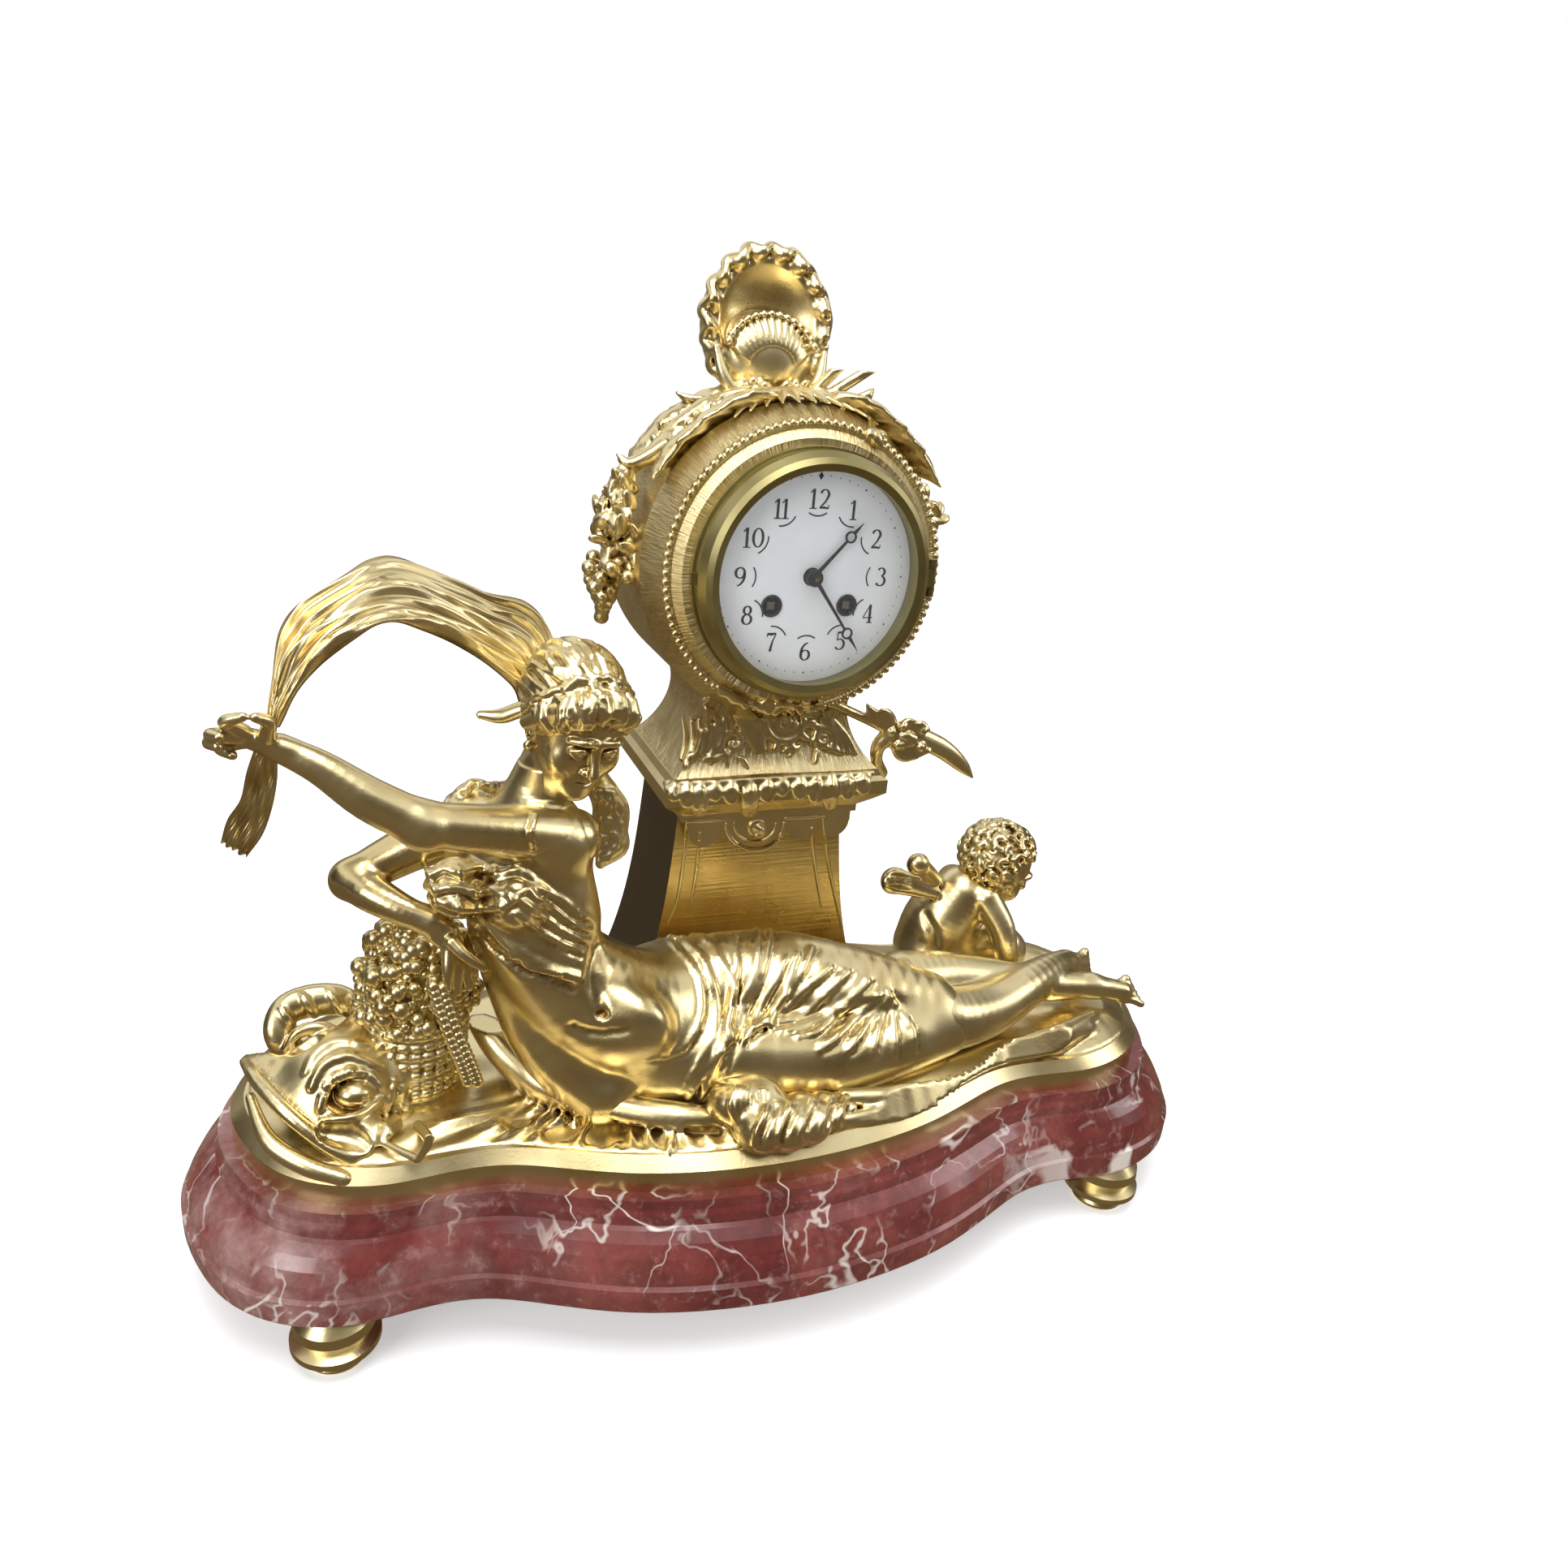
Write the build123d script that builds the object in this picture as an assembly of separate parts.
from build123d import *
import os
from math import acos, atan2, cos, degrees, pi, radians, sin, sqrt, tan

os.makedirs("parts", exist_ok=True)

# A figural mantel clock in gilt bronze on a red marble plinth.
# Millimetres, +Z up, the dial faces -Y, origin under the middle of the plinth.

# Shared fits
OVERRUN = 2.0
PLAY = 0.05
SEAT_GAP = 0.3
JOINT_SWELL_SHARE = 1.05
JOINT_TURN_ANGLES = (63.0, 24.0, 0.0)

# Marble plinth: quarter outline from the front bulge to the right end
PLINTH_LENGTH = 516.0
PLINTH_DEPTH = 240.0
PLINTH_THICKNESS = 45.0
PLINTH_LEDGE = 18.0
OUTLINE_SHARES = (
    (0.0, 1.0), (0.155, 0.975), (0.31, 0.895), (0.43, 0.785), (0.52, 0.71), (0.62, 0.695),
    (0.72, 0.71), (0.82, 0.66), (0.905, 0.53), (0.968, 0.30), (1.0, 0.0),
)
PLINTH_PROFILE_SHARES = (
    (0.0, 0.06), (0.04, 0.0), (0.27, 0.0), (0.30, 0.10), (0.42, 0.16), (0.54, 0.32),
    (0.64, 0.55), (0.72, 0.78), (0.75, 0.88), (0.85, 0.90), (0.90, 0.97), (1.0, 1.0),
)

# Bun feet and their studs
FOOT_HEIGHT = 30.0
FOOT_RADIUS = 19.0
FOOT_X_SHARE = 0.755
FOOT_Y_SHARE = 0.56
FOOT_PROFILE_SHARES = (
    (0.66, 0.0), (0.74, 0.10), (0.64, 0.18), (1.0, 0.30), (1.0, 0.40), (0.80, 0.46),
    (0.92, 0.62), (0.90, 0.78), (0.70, 0.92), (0.66, 1.0),
)
STUD_RADIUS = 3.0
STUD_IN_FOOT = 18.0
STUD_IN_PLINTH = 26.0

# Terrace casting on the plinth, with its bolts from below
RIM_INSET = 24.0
RIM_HEIGHT = 10.0
GROUND_INSET = 30.0
GROUND_HEIGHT = 15.0
TERRACE_WALL = 4.0
BOLT_RADIUS = 3.0
BOLT_GRIP = 9.0
BOLT_HEAD_RADIUS = 6.0
BOLT_HEAD_HEIGHT = 5.0
BOLT_SINK = 8.0
BOSS_RADIUS = 8.0
BOLT_X_SHARE = 0.45
BOLT_Y_SHARE = 0.30

# Clock axis: where the dial face stands
DIAL_X = 17.0
DIAL_Y = -15.0
DIAL_Z = 325.0

# Pedestal: (height, width, depth) shares, its back straight
PEDESTAL_HEIGHT = 114.0
PEDESTAL_WIDTH = 132.0
PEDESTAL_DEPTH = 66.0
PEDESTAL_BACK = 82.0
PEDESTAL_WALL = 4.0
PEDESTAL_SHARES = ((0.0, 1.0, 1.0), (0.17, 0.88, 0.97), (0.62, 0.71, 0.94), (1.0, 0.645, 0.92))

# Cornice and the apron that hangs from it
CORNICE_HEIGHT = 24.0
CORNICE_WIDTH = 112.0
CORNICE_DEPTH = 86.0
CORNICE_Y = 41.0
CORNICE_SHARES = (
    (0.0, 0.80), (0.15, 0.80), (0.35, 0.92), (0.50, 1.0), (0.78, 1.0), (0.86, 0.95), (1.0, 0.92),
)
APRON_DROP = 10.0
APRON_THICKNESS = 3.0
APRON_WIDTH = 84.0
APRON_SCALLOPS = 5
APRON_LOBE_SHARE = 0.96

# Neck between the cornice and the drum
NECK_WIDTH = 102.0
NECK_DEPTH = 76.0
NECK_TOP = 272.0
NECK_Y = 39.0
NECK_SHARES = ((0.0, 1.0, 1.0), (0.25, 0.82, 0.84), (0.70, 0.70, 0.76), (1.0, 0.82, 0.78))
WELL_WIDTH = 62.0
WELL_DEPTH = 30.0

# Drum case, its lip and its bead ring
DRUM_RADIUS = 70.0
DRUM_DEPTH = 83.0
DRUM_WALL = 4.0
DRUM_FRONT = 4.0
LIP_RADIUS = 57.0
LIP_BORE = 48.0
LIP_THICKNESS = 8.0
SHOULDER_DEPTH = 20.0
BEAD_RADIUS = 62.0
BEAD_DEPTH = 5.0
BEAD_SIZE = 2.0
DRUM_SLOT_WIDTH = 30.0
DRUM_SLOT_LENGTH = 22.0

# Ornaments on the drum
CREST_HEIGHT = 62.0
CREST_SINK = 5.0
CREST_WIDTH = 60.0
CREST_THICKNESS = 14.0
CREST_DEPTH = 72.0
CREST_BOWL_RADIUS = 39.0
CREST_BOWL_DEPTH = 9.0
CREST_RUFFLES = 15
CREST_RUFFLE_SHARE = 0.03
LEAF_THICKNESS = 5.0
LEAF_BREADTH = 26.0
LEAF_DEPTH = 24.0
LEAF_ARC_ANGLE = 38.0
LEAF_START_ANGLES = (36.0, 110.0)
REED_ROOT_SHARES = ((0.20, 0.96), (0.34, 0.90))
REED_TIP_SHARES = ((0.50, 1.24), (0.66, 1.22))
REED_RADIUS = 2.4
FRUIT_RADIUS = 8.0
FRUIT_COUNT = 6
FRUIT_STEP_ANGLE = 9.0
FRUIT_TAPER_SHARE = 0.06
FRUIT_DEPTH = 45.0
FRUIT_TOP_ANGLE = 20.0
SPRAY_RADIUS = 3.6
SPRAY_LENGTH = 92.0
SPRAY_SHARES = ((0.0, 0.0, 0.0), (0.45, 0.0, -0.19), (0.62, 0.0, -0.27), (1.0, 0.0, -0.49))
SPRAY_SWELL_SHARES = (1.0, 1.1, 1.9, 0.3)
SPRAY_X = 30.0
SPRAY_Y = 30.0
SPRAY_Z = 68.0

# Nymph: places as shares of a box that stands on the ground at her seat
NYMPH_LENGTH = 400.0
NYMPH_DEPTH = 100.0
NYMPH_HEIGHT = 200.0
NYMPH_HEAD = 50.0
NYMPH_X = -40.0
NYMPH_Y = -30.0
TORSO_SHARES = (
    (-0.02, 0.0, 0.16), (-0.08, -0.06, 0.235), (-0.1375, -0.06, 0.35), (-0.165, -0.01, 0.48), (-0.17, 0.04, 0.59),
)
SHOULDER_SHARES = ((-0.13, -0.08, 0.655), (-0.1675, 0.04, 0.645), (-0.215, 0.20, 0.63))
RIB_SHARES = ((-0.145, -0.09, 0.52), (-0.195, 0.09, 0.51))
BREAST_SHARES = ((-0.1875, -0.18, 0.555), (-0.2425, -0.05, 0.56))
BELLY_SHARES = ((-0.05, -0.20, 0.21), (-0.105, -0.20, 0.28))
NEAR_THIGH_SHARES = ((-0.015, -0.08, 0.12), (0.10, -0.20, 0.09), (0.215, -0.24, 0.085), (0.33, -0.18, 0.105))
FAR_THIGH_SHARES = ((0.0, 0.08, 0.18), (0.12, 0.06, 0.195), (0.225, 0.0, 0.17), (0.315, -0.04, 0.14))
NECK_BASE_SHARES = (-0.15, 0.08, 0.66)
HEAD_SHARES = (-0.12, 0.02, 0.88)
BUN_SHARES = (-0.145, 0.14, 0.86)
RAISED_ARM_SHARES = (
    (-0.135, -0.08, 0.66), (-0.2775, -0.28, 0.75), (-0.3925, -0.22, 0.905), (-0.425, -0.2, 0.935),
)
RESTING_ARM_SHARES = (
    (-0.215, 0.21, 0.64), (-0.36, 0.20, 0.535), (-0.27, -0.03, 0.49), (-0.245, -0.06, 0.405),
)
NEAR_LEG_SHARES = ((0.345, -0.17, 0.115), (0.565, 0.02, 0.095), (0.65, -0.06, 0.07))
FAR_LEG_SHARES = ((0.33, 0.12, 0.16), (0.585, 0.20, 0.11), (0.665, 0.14, 0.08))
TORSO_RADIUS_SHARES = (0.62, 0.57, 0.48, 0.50, 0.41)
SHOULDER_RADIUS_SHARES = (0.24, 0.25, 0.24)
RIB_RADIUS_SHARES = (0.39, 0.38)
BREAST_RADIUS_SHARE = 0.27
BELLY_RADIUS_SHARES = (0.33, 0.31)
NEAR_THIGH_RADIUS_SHARES = (0.54, 0.47, 0.39, 0.34)
FAR_THIGH_RADIUS_SHARES = (0.58, 0.55, 0.47, 0.37)
LEG_RADIUS_SHARES = (0.30, 0.17, 0.12)
ARM_RADIUS_SHARES = (0.22, 0.19, 0.13, 0.14)
NECK_RADIUS_SHARES = (0.26, 0.20)
HEAD_RADIUS_SHARE = 0.46
BUN_RADIUS_SHARE = 0.24

# Scarf: a ribbon from her raised hand over to her back, with a tail below the hand
SCARF_WIDTH = 34.0
SCARF_TAIL_WIDTH = 16.0
SCARF_THICKNESS = 4.0
SCARF_PINCH_SHARE = 0.6
SCARF_GRIP_SHARES = (0.11, 0.10)
SCARF_SHARES = (
    (-0.42, -0.22, 1.00), (-0.395, -0.10, 1.08), (-0.355, 0.06, 1.16), (-0.30, 0.18, 1.19),
    (-0.235, 0.26, 1.14), (-0.18, 0.32, 1.03), (-0.155, 0.34, 0.88), (-0.16, 0.34, 0.72),
)
SCARF_TAIL_SHARES = ((-0.425, -0.22, 0.90), (-0.43, -0.20, 0.80), (-0.44, -0.18, 0.70))

# Beasts and vessels on the terrace, places as shares of the plinth's half length and half depth
DOLPHIN_SIZE = 27.0
DOLPHIN_SHARES = ((-0.835, -0.32, 0.6), (-0.75, -0.22, 0.85), (-0.66, 0.02, 0.75), (-0.76, 0.14, 1.6))
DOLPHIN_RADIUS_SHARES = (0.55, 1.0, 0.75, 0.3)
CREEL_HEIGHT = 78.0
CREEL_RADIUS = 25.0
CREEL_X_SHARE = -0.555
CREEL_Y_SHARE = -0.08
CREEL_PROFILE_SHARES = ((0.95, 0.0), (1.0, 0.35), (0.92, 0.7), (0.70, 0.92), (0.40, 1.0))
SHELL_SIZE = 16.0
SHELL_PLACE_SHARES = (0.01, -0.69, 0.60)
SHELL_PROFILE_SHARES = (
    (0.10, -2.0), (0.36, -1.6), (0.62, -0.9), (0.92, -0.3), (1.0, 0.2), (0.92, 0.7), (0.62, 1.2), (0.30, 1.6),
)
SHELL_TURN_ANGLES = (0.0, 84.0, 4.0)

# Putto: places as shares of the putto's height from the seat
PUTTO_HEIGHT = 90.0
PUTTO_X_SHARE = 0.52
PUTTO_Y_SHARE = 0.25
PUTTO_SEAT_SHARES = (-0.02, 0.02, 0.24)
PUTTO_CHEST_SHARES = (0.10, -0.02, 0.52)
PUTTO_HEAD_SHARES = (0.31, -0.02, 0.77)
PUTTO_LEG_SHARES = ((0.05, -0.05, 0.20), (0.40, -0.10, 0.22), (0.28, 0.14, 0.10))
PUTTO_ARM_SHARES = ((0.17, -0.12, 0.58), (0.28, -0.28, 0.36), (0.36, -0.30, 0.24))
PUTTO_WING_SHARES = ((-0.10, 0.12, 0.58), (-0.26, 0.20, 0.72))
PUTTO_TORSO_RADIUS_SHARES = (0.25, 0.20)
PUTTO_LEG_RADIUS_SHARES = (0.15, 0.12, 0.09)
PUTTO_ARM_RADIUS_SHARES = (0.09, 0.075, 0.06)
PUTTO_WING_RADIUS_SHARES = (0.05, 0.12)
PUTTO_HEAD_RADIUS_SHARE = 0.22

# Dial, dial plate and the front bezel, heights measured forward of the dial face
DIAL_RADIUS = 46.5
DIAL_THICKNESS = 2.0
DIAL_BORE = 4.0
WINDING_HOLE = 4.2
DIAL_PLATE_THICKNESS = 1.4
RING_BORE = 47.0
RING_RADIUS = 54.0
DIAL_FOOT_RADIUS = 1.2
DIAL_FOOT_REACH = 39.0
DIAL_FOOT_ANGLES = (95.0, 180.0, 0.0)
BEZEL_RADIUS = 53.0
BEZEL_SIGHT = 45.3
BEZEL_HEIGHT = 11.0
BEZEL_GAP = 0.3
BEZEL_SHARES = ((0.0, 0.0), (0.85, 0.0), (1.0, 0.12), (1.0, 0.45), (0.72, 0.85), (0.40, 1.0), (0.0, 0.92))
GLASS_SEAT = 5.0
GLASS_THICKNESS = 1.5
GLASS_RISE = 5.0
GLASS_LAND = 1.2
HINGE_RADIUS = 1.7
HINGE_PIN_RADIUS = 0.8
HINGE_LENGTH = 8.0
HINGE_REACH = 56.5
HINGE_RISE = 2.4
HINGE_GAP = 0.2
THUMB_TAB = 5.0
THUMB_TAB_THICKNESS = 1.6

# Rear ring and rear door
REAR_RING_WIDTH = 8.0
REAR_RING_DEPTH = 5.0
REAR_DOOR_OVERLAP = 3.0
REAR_DOOR_THICKNESS = 1.6

# Movement plates, heights measured from the dial face
FRONT_PLATE_TOP = -12.0
PLATE_THICKNESS = 2.5
PLATE_RADIUS = 42.0
PLATE_SPACE = 29.5
PILLAR_RADIUS = 2.4
PILLAR_REACH = 37.0
PILLAR_ANGLES = (40.0, 140.0, 252.0, 288.0)
STRAP_REACH = 45.0
STRAP_ANGLES = (30.0, 210.0)
STRAP_WIDTH = 6.0
STRAP_THICKNESS = 1.6
STRAP_SCREW_RADIUS = 1.2
STRAP_SCREW_LENGTH = 4.0
STRAP_SCREW_HEAD = 2.2
STRAP_SCREW_HEAD_HEIGHT = 1.2

# Gear teeth
ADDENDUM_SHARE = 0.55
DEDENDUM_SHARE = 0.85
BACKLASH_SHARE = 0.20
FLANK_ANGLE = 25.0
WHEEL_THICKNESS = 0.8
WHEEL_RIM = 1.4
SPOKE_WIDTH = 1.2
PINION_LENGTH = 2.4
ARBOR_RADIUS = 0.8
PIVOT_RADIUS = 0.45
PIVOT_LENGTH = 2.2
END_SHAKE = 0.2

# Barrels
BARREL_X = 17.6
BARREL_Y = -12.5
BARREL_TEETH = 80
BARREL_MODULE = 0.42
BARREL_RADIUS = 15.0
BARREL_WALL = 1.0
BARREL_LENGTH = 17.4
BARREL_FRONT_GAP = 6.0
GREAT_WHEEL_THICKNESS = 1.8
BARREL_BORE_REACH = 8.0
BARREL_ARBOR_RADIUS = 2.2
BARREL_PINION = 10
SPRING_WALL = 4.5
SPRING_GAP = 0.6
WINDING_SQUARE = 3.4
WINDING_SQUARE_TOP = -0.6
RATCHET_TEETH = 24
RATCHET_RADIUS = 6.6
RATCHET_DEPTH = 1.0
RATCHET_THICKNESS = 1.4
RATCHET_GAP = 0.4
RATCHET_LEAN_SHARE = 0.15
CLICK_LENGTH = 9.0
CLICK_WIDTH = 2.2

# Going train
INTERMEDIATE_TEETH = 60
INTERMEDIATE_MODULE = 0.35
CENTRE_PINION = 10
CENTRE_TEETH = 96
THIRD_TEETH = 80
THIRD_PINION = 8
TRAIN_MODULE = 0.22
ESCAPE_Y = 19.5
ESCAPE_TEETH = 40
ESCAPE_RADIUS = 8.5
ESCAPE_TOOTH_DEPTH = 1.1
ESCAPE_SPAN_SHARE = 0.2875
ESCAPE_TOOTH_SHARE = 0.42
PALLET_GAP = 0.2
PALLET_WIDTH = 0.24
ANCHOR_WIDTH = 1.8
ANCHOR_ROOT_SHARE = 0.9
CENTRE_ARBOR_RADIUS = 1.0
CENTRE_ARBOR_TOP = 6.0
INTERMEDIATE_LEVEL = 2.6
CENTRE_LEVEL = 0.7
THIRD_LEVEL = 22.0
ESCAPE_LEVEL = 7.0

# Hands and motion work
CANNON_TEETH = 14
MINUTE_WHEEL_TEETH = 42
CANNON_MODULE = 0.28
MINUTE_PINION = 10
HOUR_WHEEL_TEETH = 40
MINUTE_WHEEL_ANGLE = 90.0
CANNON_RADIUS = 1.7
HOUR_PIPE_RADIUS = 2.6
STUD_POST_RADIUS = 0.8
MOTION_GAP = 0.6
MINUTE_LENGTH = 40.4
HOUR_LENGTH = 31.5
MINUTE_ANGLE = 144.0
HOUR_ANGLE = 42.0
HAND_THICKNESS = 0.7
HAND_WIDTH = 1.8
HAND_BOSS_RADIUS = 3.6
MINUTE_HAND_LEVEL = 3.4
HOUR_HAND_LEVEL = 1.5
MOON_RADIUS = 2.6
MOON_BAND = 0.8
MOON_SHARE = 0.74

# Pendulum, anchor arbor, suspension
PENDULUM_LENGTH = 140.0
PENDULUM_LEVEL = -54.0
ROD_RADIUS = 1.0
BOB_RADIUS = 17.0
BOB_THICKNESS = 8.0
BOB_FLAT_SHARE = 0.6
RATING_NUT_RADIUS = 3.0
RATING_NUT_HEIGHT = 4.0
HOOK_WIDTH = 5.0
HOOK_HEIGHT = 4.0
CRUTCH_LENGTH = 42.0
CRUTCH_RADIUS = 0.7
CRUTCH_LEVEL = -49.0
FORK_GAP = 0.3
COCK_WIDTH = 10.0
COCK_HEIGHT = 6.0
COCK_LIFT = 4.0
SPRING_STRIP_WIDTH = 4.0
SPRING_STRIP_THICKNESS = 0.4

# Strike train
PIN_WHEEL_ANGLE = 125.0
PIN_WHEEL_TEETH = 60
PIN_WHEEL_MODULE = 0.35
LOCKING_PINION = 8
LOCKING_ANGLE = 60.0
LOCKING_TEETH = 60
LOCKING_MODULE = 0.28
FLY_PINION = 8
FLY_ANGLE = 60.0
FLY_RADIUS = 6.6
FLY_LENGTH = 9.0
FLY_THICKNESS = 0.6
STRIKE_PIN_COUNT = 8
STRIKE_PIN_REACH = 9.4
STRIKE_PIN_RADIUS = 0.4
STRIKE_PIN_LENGTH = 1.6
PIN_WHEEL_LEVEL = 26.0
LOCKING_LEVEL = 17.8
FLY_LEVEL = 5.0
HAMMER_X = -36.0
HAMMER_Y = 14.0
HAMMER_HEAD_X = -21.0
HAMMER_HEAD_Y = 4.0
HAMMER_HEAD_RADIUS = 3.0
HAMMER_HEAD_LENGTH = 6.0
HAMMER_LEVEL = -64.0
HAMMER_ARM_RADIUS = 0.9
TAIL_LENGTH = 3.0
BELL_X = 12.0
BELL_Y = 0.0
BELL_RADIUS = 27.0
BELL_DEPTH = 14.0
BELL_WALL = 1.5
BELL_CROWN_SHARE = 0.72
BELL_MOUTH = -60.0
BELL_POST_RADIUS = 2.0

# Heights that follow from the stack
PLINTH_TOP = FOOT_HEIGHT + PLINTH_THICKNESS
GROUND = PLINTH_TOP + GROUND_HEIGHT
PEDESTAL_TOP = GROUND + PEDESTAL_HEIGHT
CORNICE_TOP = PEDESTAL_TOP + CORNICE_HEIGHT
DRUM_BACK = -DRUM_FRONT - DRUM_DEPTH
BACK_PLATE_TOP = FRONT_PLATE_TOP - PLATE_THICKNESS - PLATE_SPACE
BACK_PLATE_BACK = BACK_PLATE_TOP - PLATE_THICKNESS
SPACE_TOP = FRONT_PLATE_TOP - PLATE_THICKNESS
DIAL_FRAME = Pos(DIAL_X, DIAL_Y, DIAL_Z) * Rot(90, 0, 0)


def save(name, *solids):
    """Write one node: a single solid, or a group of separate solids."""
    shape = solids[0] if len(solids) == 1 else Compound(children=list(solids))
    export_step(shape, f"parts/{name}.step")
    print(name, len(solids))


def biggest(shape):
    """The largest solid left after a cut."""
    return max(shape.solids(), key=lambda solid: solid.volume)


def plan_wire(inset, height):
    """The plinth's closed plan line, drawn in from the widest edge, at one height."""
    half_length = PLINTH_LENGTH / 2 - inset
    half_depth = PLINTH_DEPTH / 2 - inset
    quarter = [(x * half_length, y * half_depth) for x, y in OUTLINE_SHARES]
    ring = [(x, -y) for x, y in quarter]
    ring += [(x, y) for x, y in quarter[-2::-1]]
    ring += [(-x, y) for x, y in quarter[1:]]
    ring += [(-x, -y) for x, y in quarter[-2:0:-1]]
    return Wire(Spline(*[(x, y, height) for x, y in ring], periodic=True))


def four_places(x_share, y_share):
    """Four places in the corners of the plinth's box."""
    x = PLINTH_LENGTH / 2 * x_share
    y = PLINTH_DEPTH / 2 * y_share
    return [(sx * x, sy * y) for sx in (-1, 1) for sy in (-1, 1)]


def upright(radius, low, high, place):
    """A vertical cylinder between two heights."""
    return Pos(place[0], place[1], low) * Cylinder(
        radius, high - low, align=(Align.CENTER, Align.CENTER, Align.MIN)
    )


def turned(points):
    """A solid turned about the Z axis from a closed line of (radius, height) points."""
    return revolve(make_face(Plane.XZ * Polyline(*points, close=True)), axis=Axis.Z)


def limb(points, radii):
    """A chain of tapering rods with a ball at each joint."""
    body = Pos(*points[0]) * Rot(*JOINT_TURN_ANGLES) * Sphere(radii[0])
    for start, end, thick, thin in zip(points, points[1:], radii, radii[1:]):
        way = Vector(*end) - Vector(*start)
        taper = Cone(thick, thin, way.length, align=(Align.CENTER, Align.CENTER, Align.MIN))
        body += Plane(origin=start, z_dir=way) * taper
        body += Pos(*end) * Rot(*JOINT_TURN_ANGLES) * Sphere(thin * JOINT_SWELL_SHARE)
    return body


def box_stack(sections, y_of, x=DIAL_X, ruled=False):
    """A solid lofted through level rectangles of (height, width, depth)."""
    faces = [Pos(x, y_of(depth), height) * Rectangle(width, depth) for height, width, depth in sections]
    return loft(faces, ruled=ruled)


def rod(radius, low, high, place=(0, 0)):
    """A cylinder along the clock's depth, in the dial's frame."""
    return Pos(place[0], place[1], low) * Cylinder(
        radius, high - low, align=(Align.CENTER, Align.CENTER, Align.MIN)
    )


def tube(outer, inner, low, high, place=(0, 0)):
    """A pipe along the clock's depth."""
    return rod(outer, low, high, place) - rod(inner, low - OVERRUN, high + OVERRUN, place)


def polar(radius, angle):
    """A place in the dial's plane from a radius and an angle in degrees."""
    return (radius * cos(radians(angle)), radius * sin(radians(angle)))


def bearing(start, end):
    """The direction in degrees from one arbor to another."""
    return degrees(atan2(end[1] - start[1], end[0] - start[0]))


def beyond(start, radius, angle):
    """The place at a distance and direction from another place."""
    step = polar(radius, angle)
    return (start[0] + step[0], start[1] + step[1])


def third_corner(first, second, first_side, second_side, turn):
    """The place at given distances from two others, to the left (1) or right (-1) of the way between."""
    gap = sqrt((second[0] - first[0]) ** 2 + (second[1] - first[1]) ** 2)
    corner = acos((first_side ** 2 + gap ** 2 - second_side ** 2) / (2 * first_side * gap))
    return beyond(first, first_side, bearing(first, second) + turn * degrees(corner))


def toothed_face(teeth, module, tooth_at):
    """A gear outline with one tooth's middle in the given direction."""
    pitch = module * teeth / 2
    points = []
    for index in range(teeth):
        middle = radians(tooth_at) + 2 * pi * index / teeth
        sides = []
        for rise_share in (-DEDENDUM_SHARE, ADDENDUM_SHARE):
            rise = rise_share * module
            half = pi * module / 4 * (1 - BACKLASH_SHARE) - rise * tan(radians(FLANK_ANGLE))
            sides.append((pitch + rise, half / (pitch + rise)))
        points += [(r * cos(middle - a), r * sin(middle - a)) for r, a in sides]
        points += [(r * cos(middle + a), r * sin(middle + a)) for r, a in reversed(sides)]
    return make_face(Polyline(*points, close=True))


def gear(teeth, module, tooth_at, low, high, place=(0, 0)):
    """A plain toothed disc."""
    return Pos(place[0], place[1], low) * extrude(toothed_face(teeth, module, tooth_at), high - low)


def crossed_gear(teeth, module, tooth_at, low, hub, place):
    """A wheel with four spokes."""
    rim = module * teeth / 2 - DEDENDUM_SHARE * module - WHEEL_RIM
    windows = Circle(rim) - Circle(hub)
    windows -= Rectangle(SPOKE_WIDTH, 2 * rim + OVERRUN)
    windows -= Rectangle(2 * rim + OVERRUN, SPOKE_WIDTH)
    face = toothed_face(teeth, module, tooth_at) - windows
    return Pos(place[0], place[1], low) * extrude(face, WHEEL_THICKNESS)


def mate(direction, teeth):
    """Where a driven gear's tooth stands, so that a gap faces the driver."""
    return direction + 180 + 180 / teeth


def pinion(teeth, module, way, low, place=(0, 0)):
    """A driven pinion with a gap towards the wheel that drives it."""
    return gear(teeth, module, mate(way, teeth), low, low + PINION_LENGTH, place)


def arbor(place):
    """A wheel's arbor with a pivot in each plate."""
    low = BACK_PLATE_TOP + END_SHAKE
    high = SPACE_TOP - END_SHAKE
    shaft = rod(ARBOR_RADIUS, low, high, place)
    return shaft + rod(PIVOT_RADIUS, low - PIVOT_LENGTH, high + PIVOT_LENGTH, place)


# Arbor places in the dial's plane
CENTRE = (0, 0)
GOING = (BARREL_X, BARREL_Y)
STRIKE = (-BARREL_X, BARREL_Y)
ESCAPE = (0, ESCAPE_Y)
INTERMEDIATE = third_corner(
    CENTRE, GOING,
    INTERMEDIATE_MODULE * (INTERMEDIATE_TEETH + CENTRE_PINION) / 2,
    BARREL_MODULE * (BARREL_TEETH + BARREL_PINION) / 2, 1,
)
THIRD = third_corner(
    CENTRE, ESCAPE,
    TRAIN_MODULE * (CENTRE_TEETH + THIRD_PINION) / 2,
    TRAIN_MODULE * (THIRD_TEETH + THIRD_PINION) / 2, 1,
)
PIN_WHEEL = beyond(STRIKE, BARREL_MODULE * (BARREL_TEETH + BARREL_PINION) / 2, PIN_WHEEL_ANGLE)
LOCKING = beyond(PIN_WHEEL, PIN_WHEEL_MODULE * (PIN_WHEEL_TEETH + LOCKING_PINION) / 2, LOCKING_ANGLE)
FLY = beyond(LOCKING, LOCKING_MODULE * (LOCKING_TEETH + FLY_PINION) / 2, FLY_ANGLE)
ANCHOR_REACH = ESCAPE_RADIUS / cos(pi * ESCAPE_SPAN_SHARE)
ANCHOR = (0, ESCAPE_Y + ANCHOR_REACH)
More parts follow.
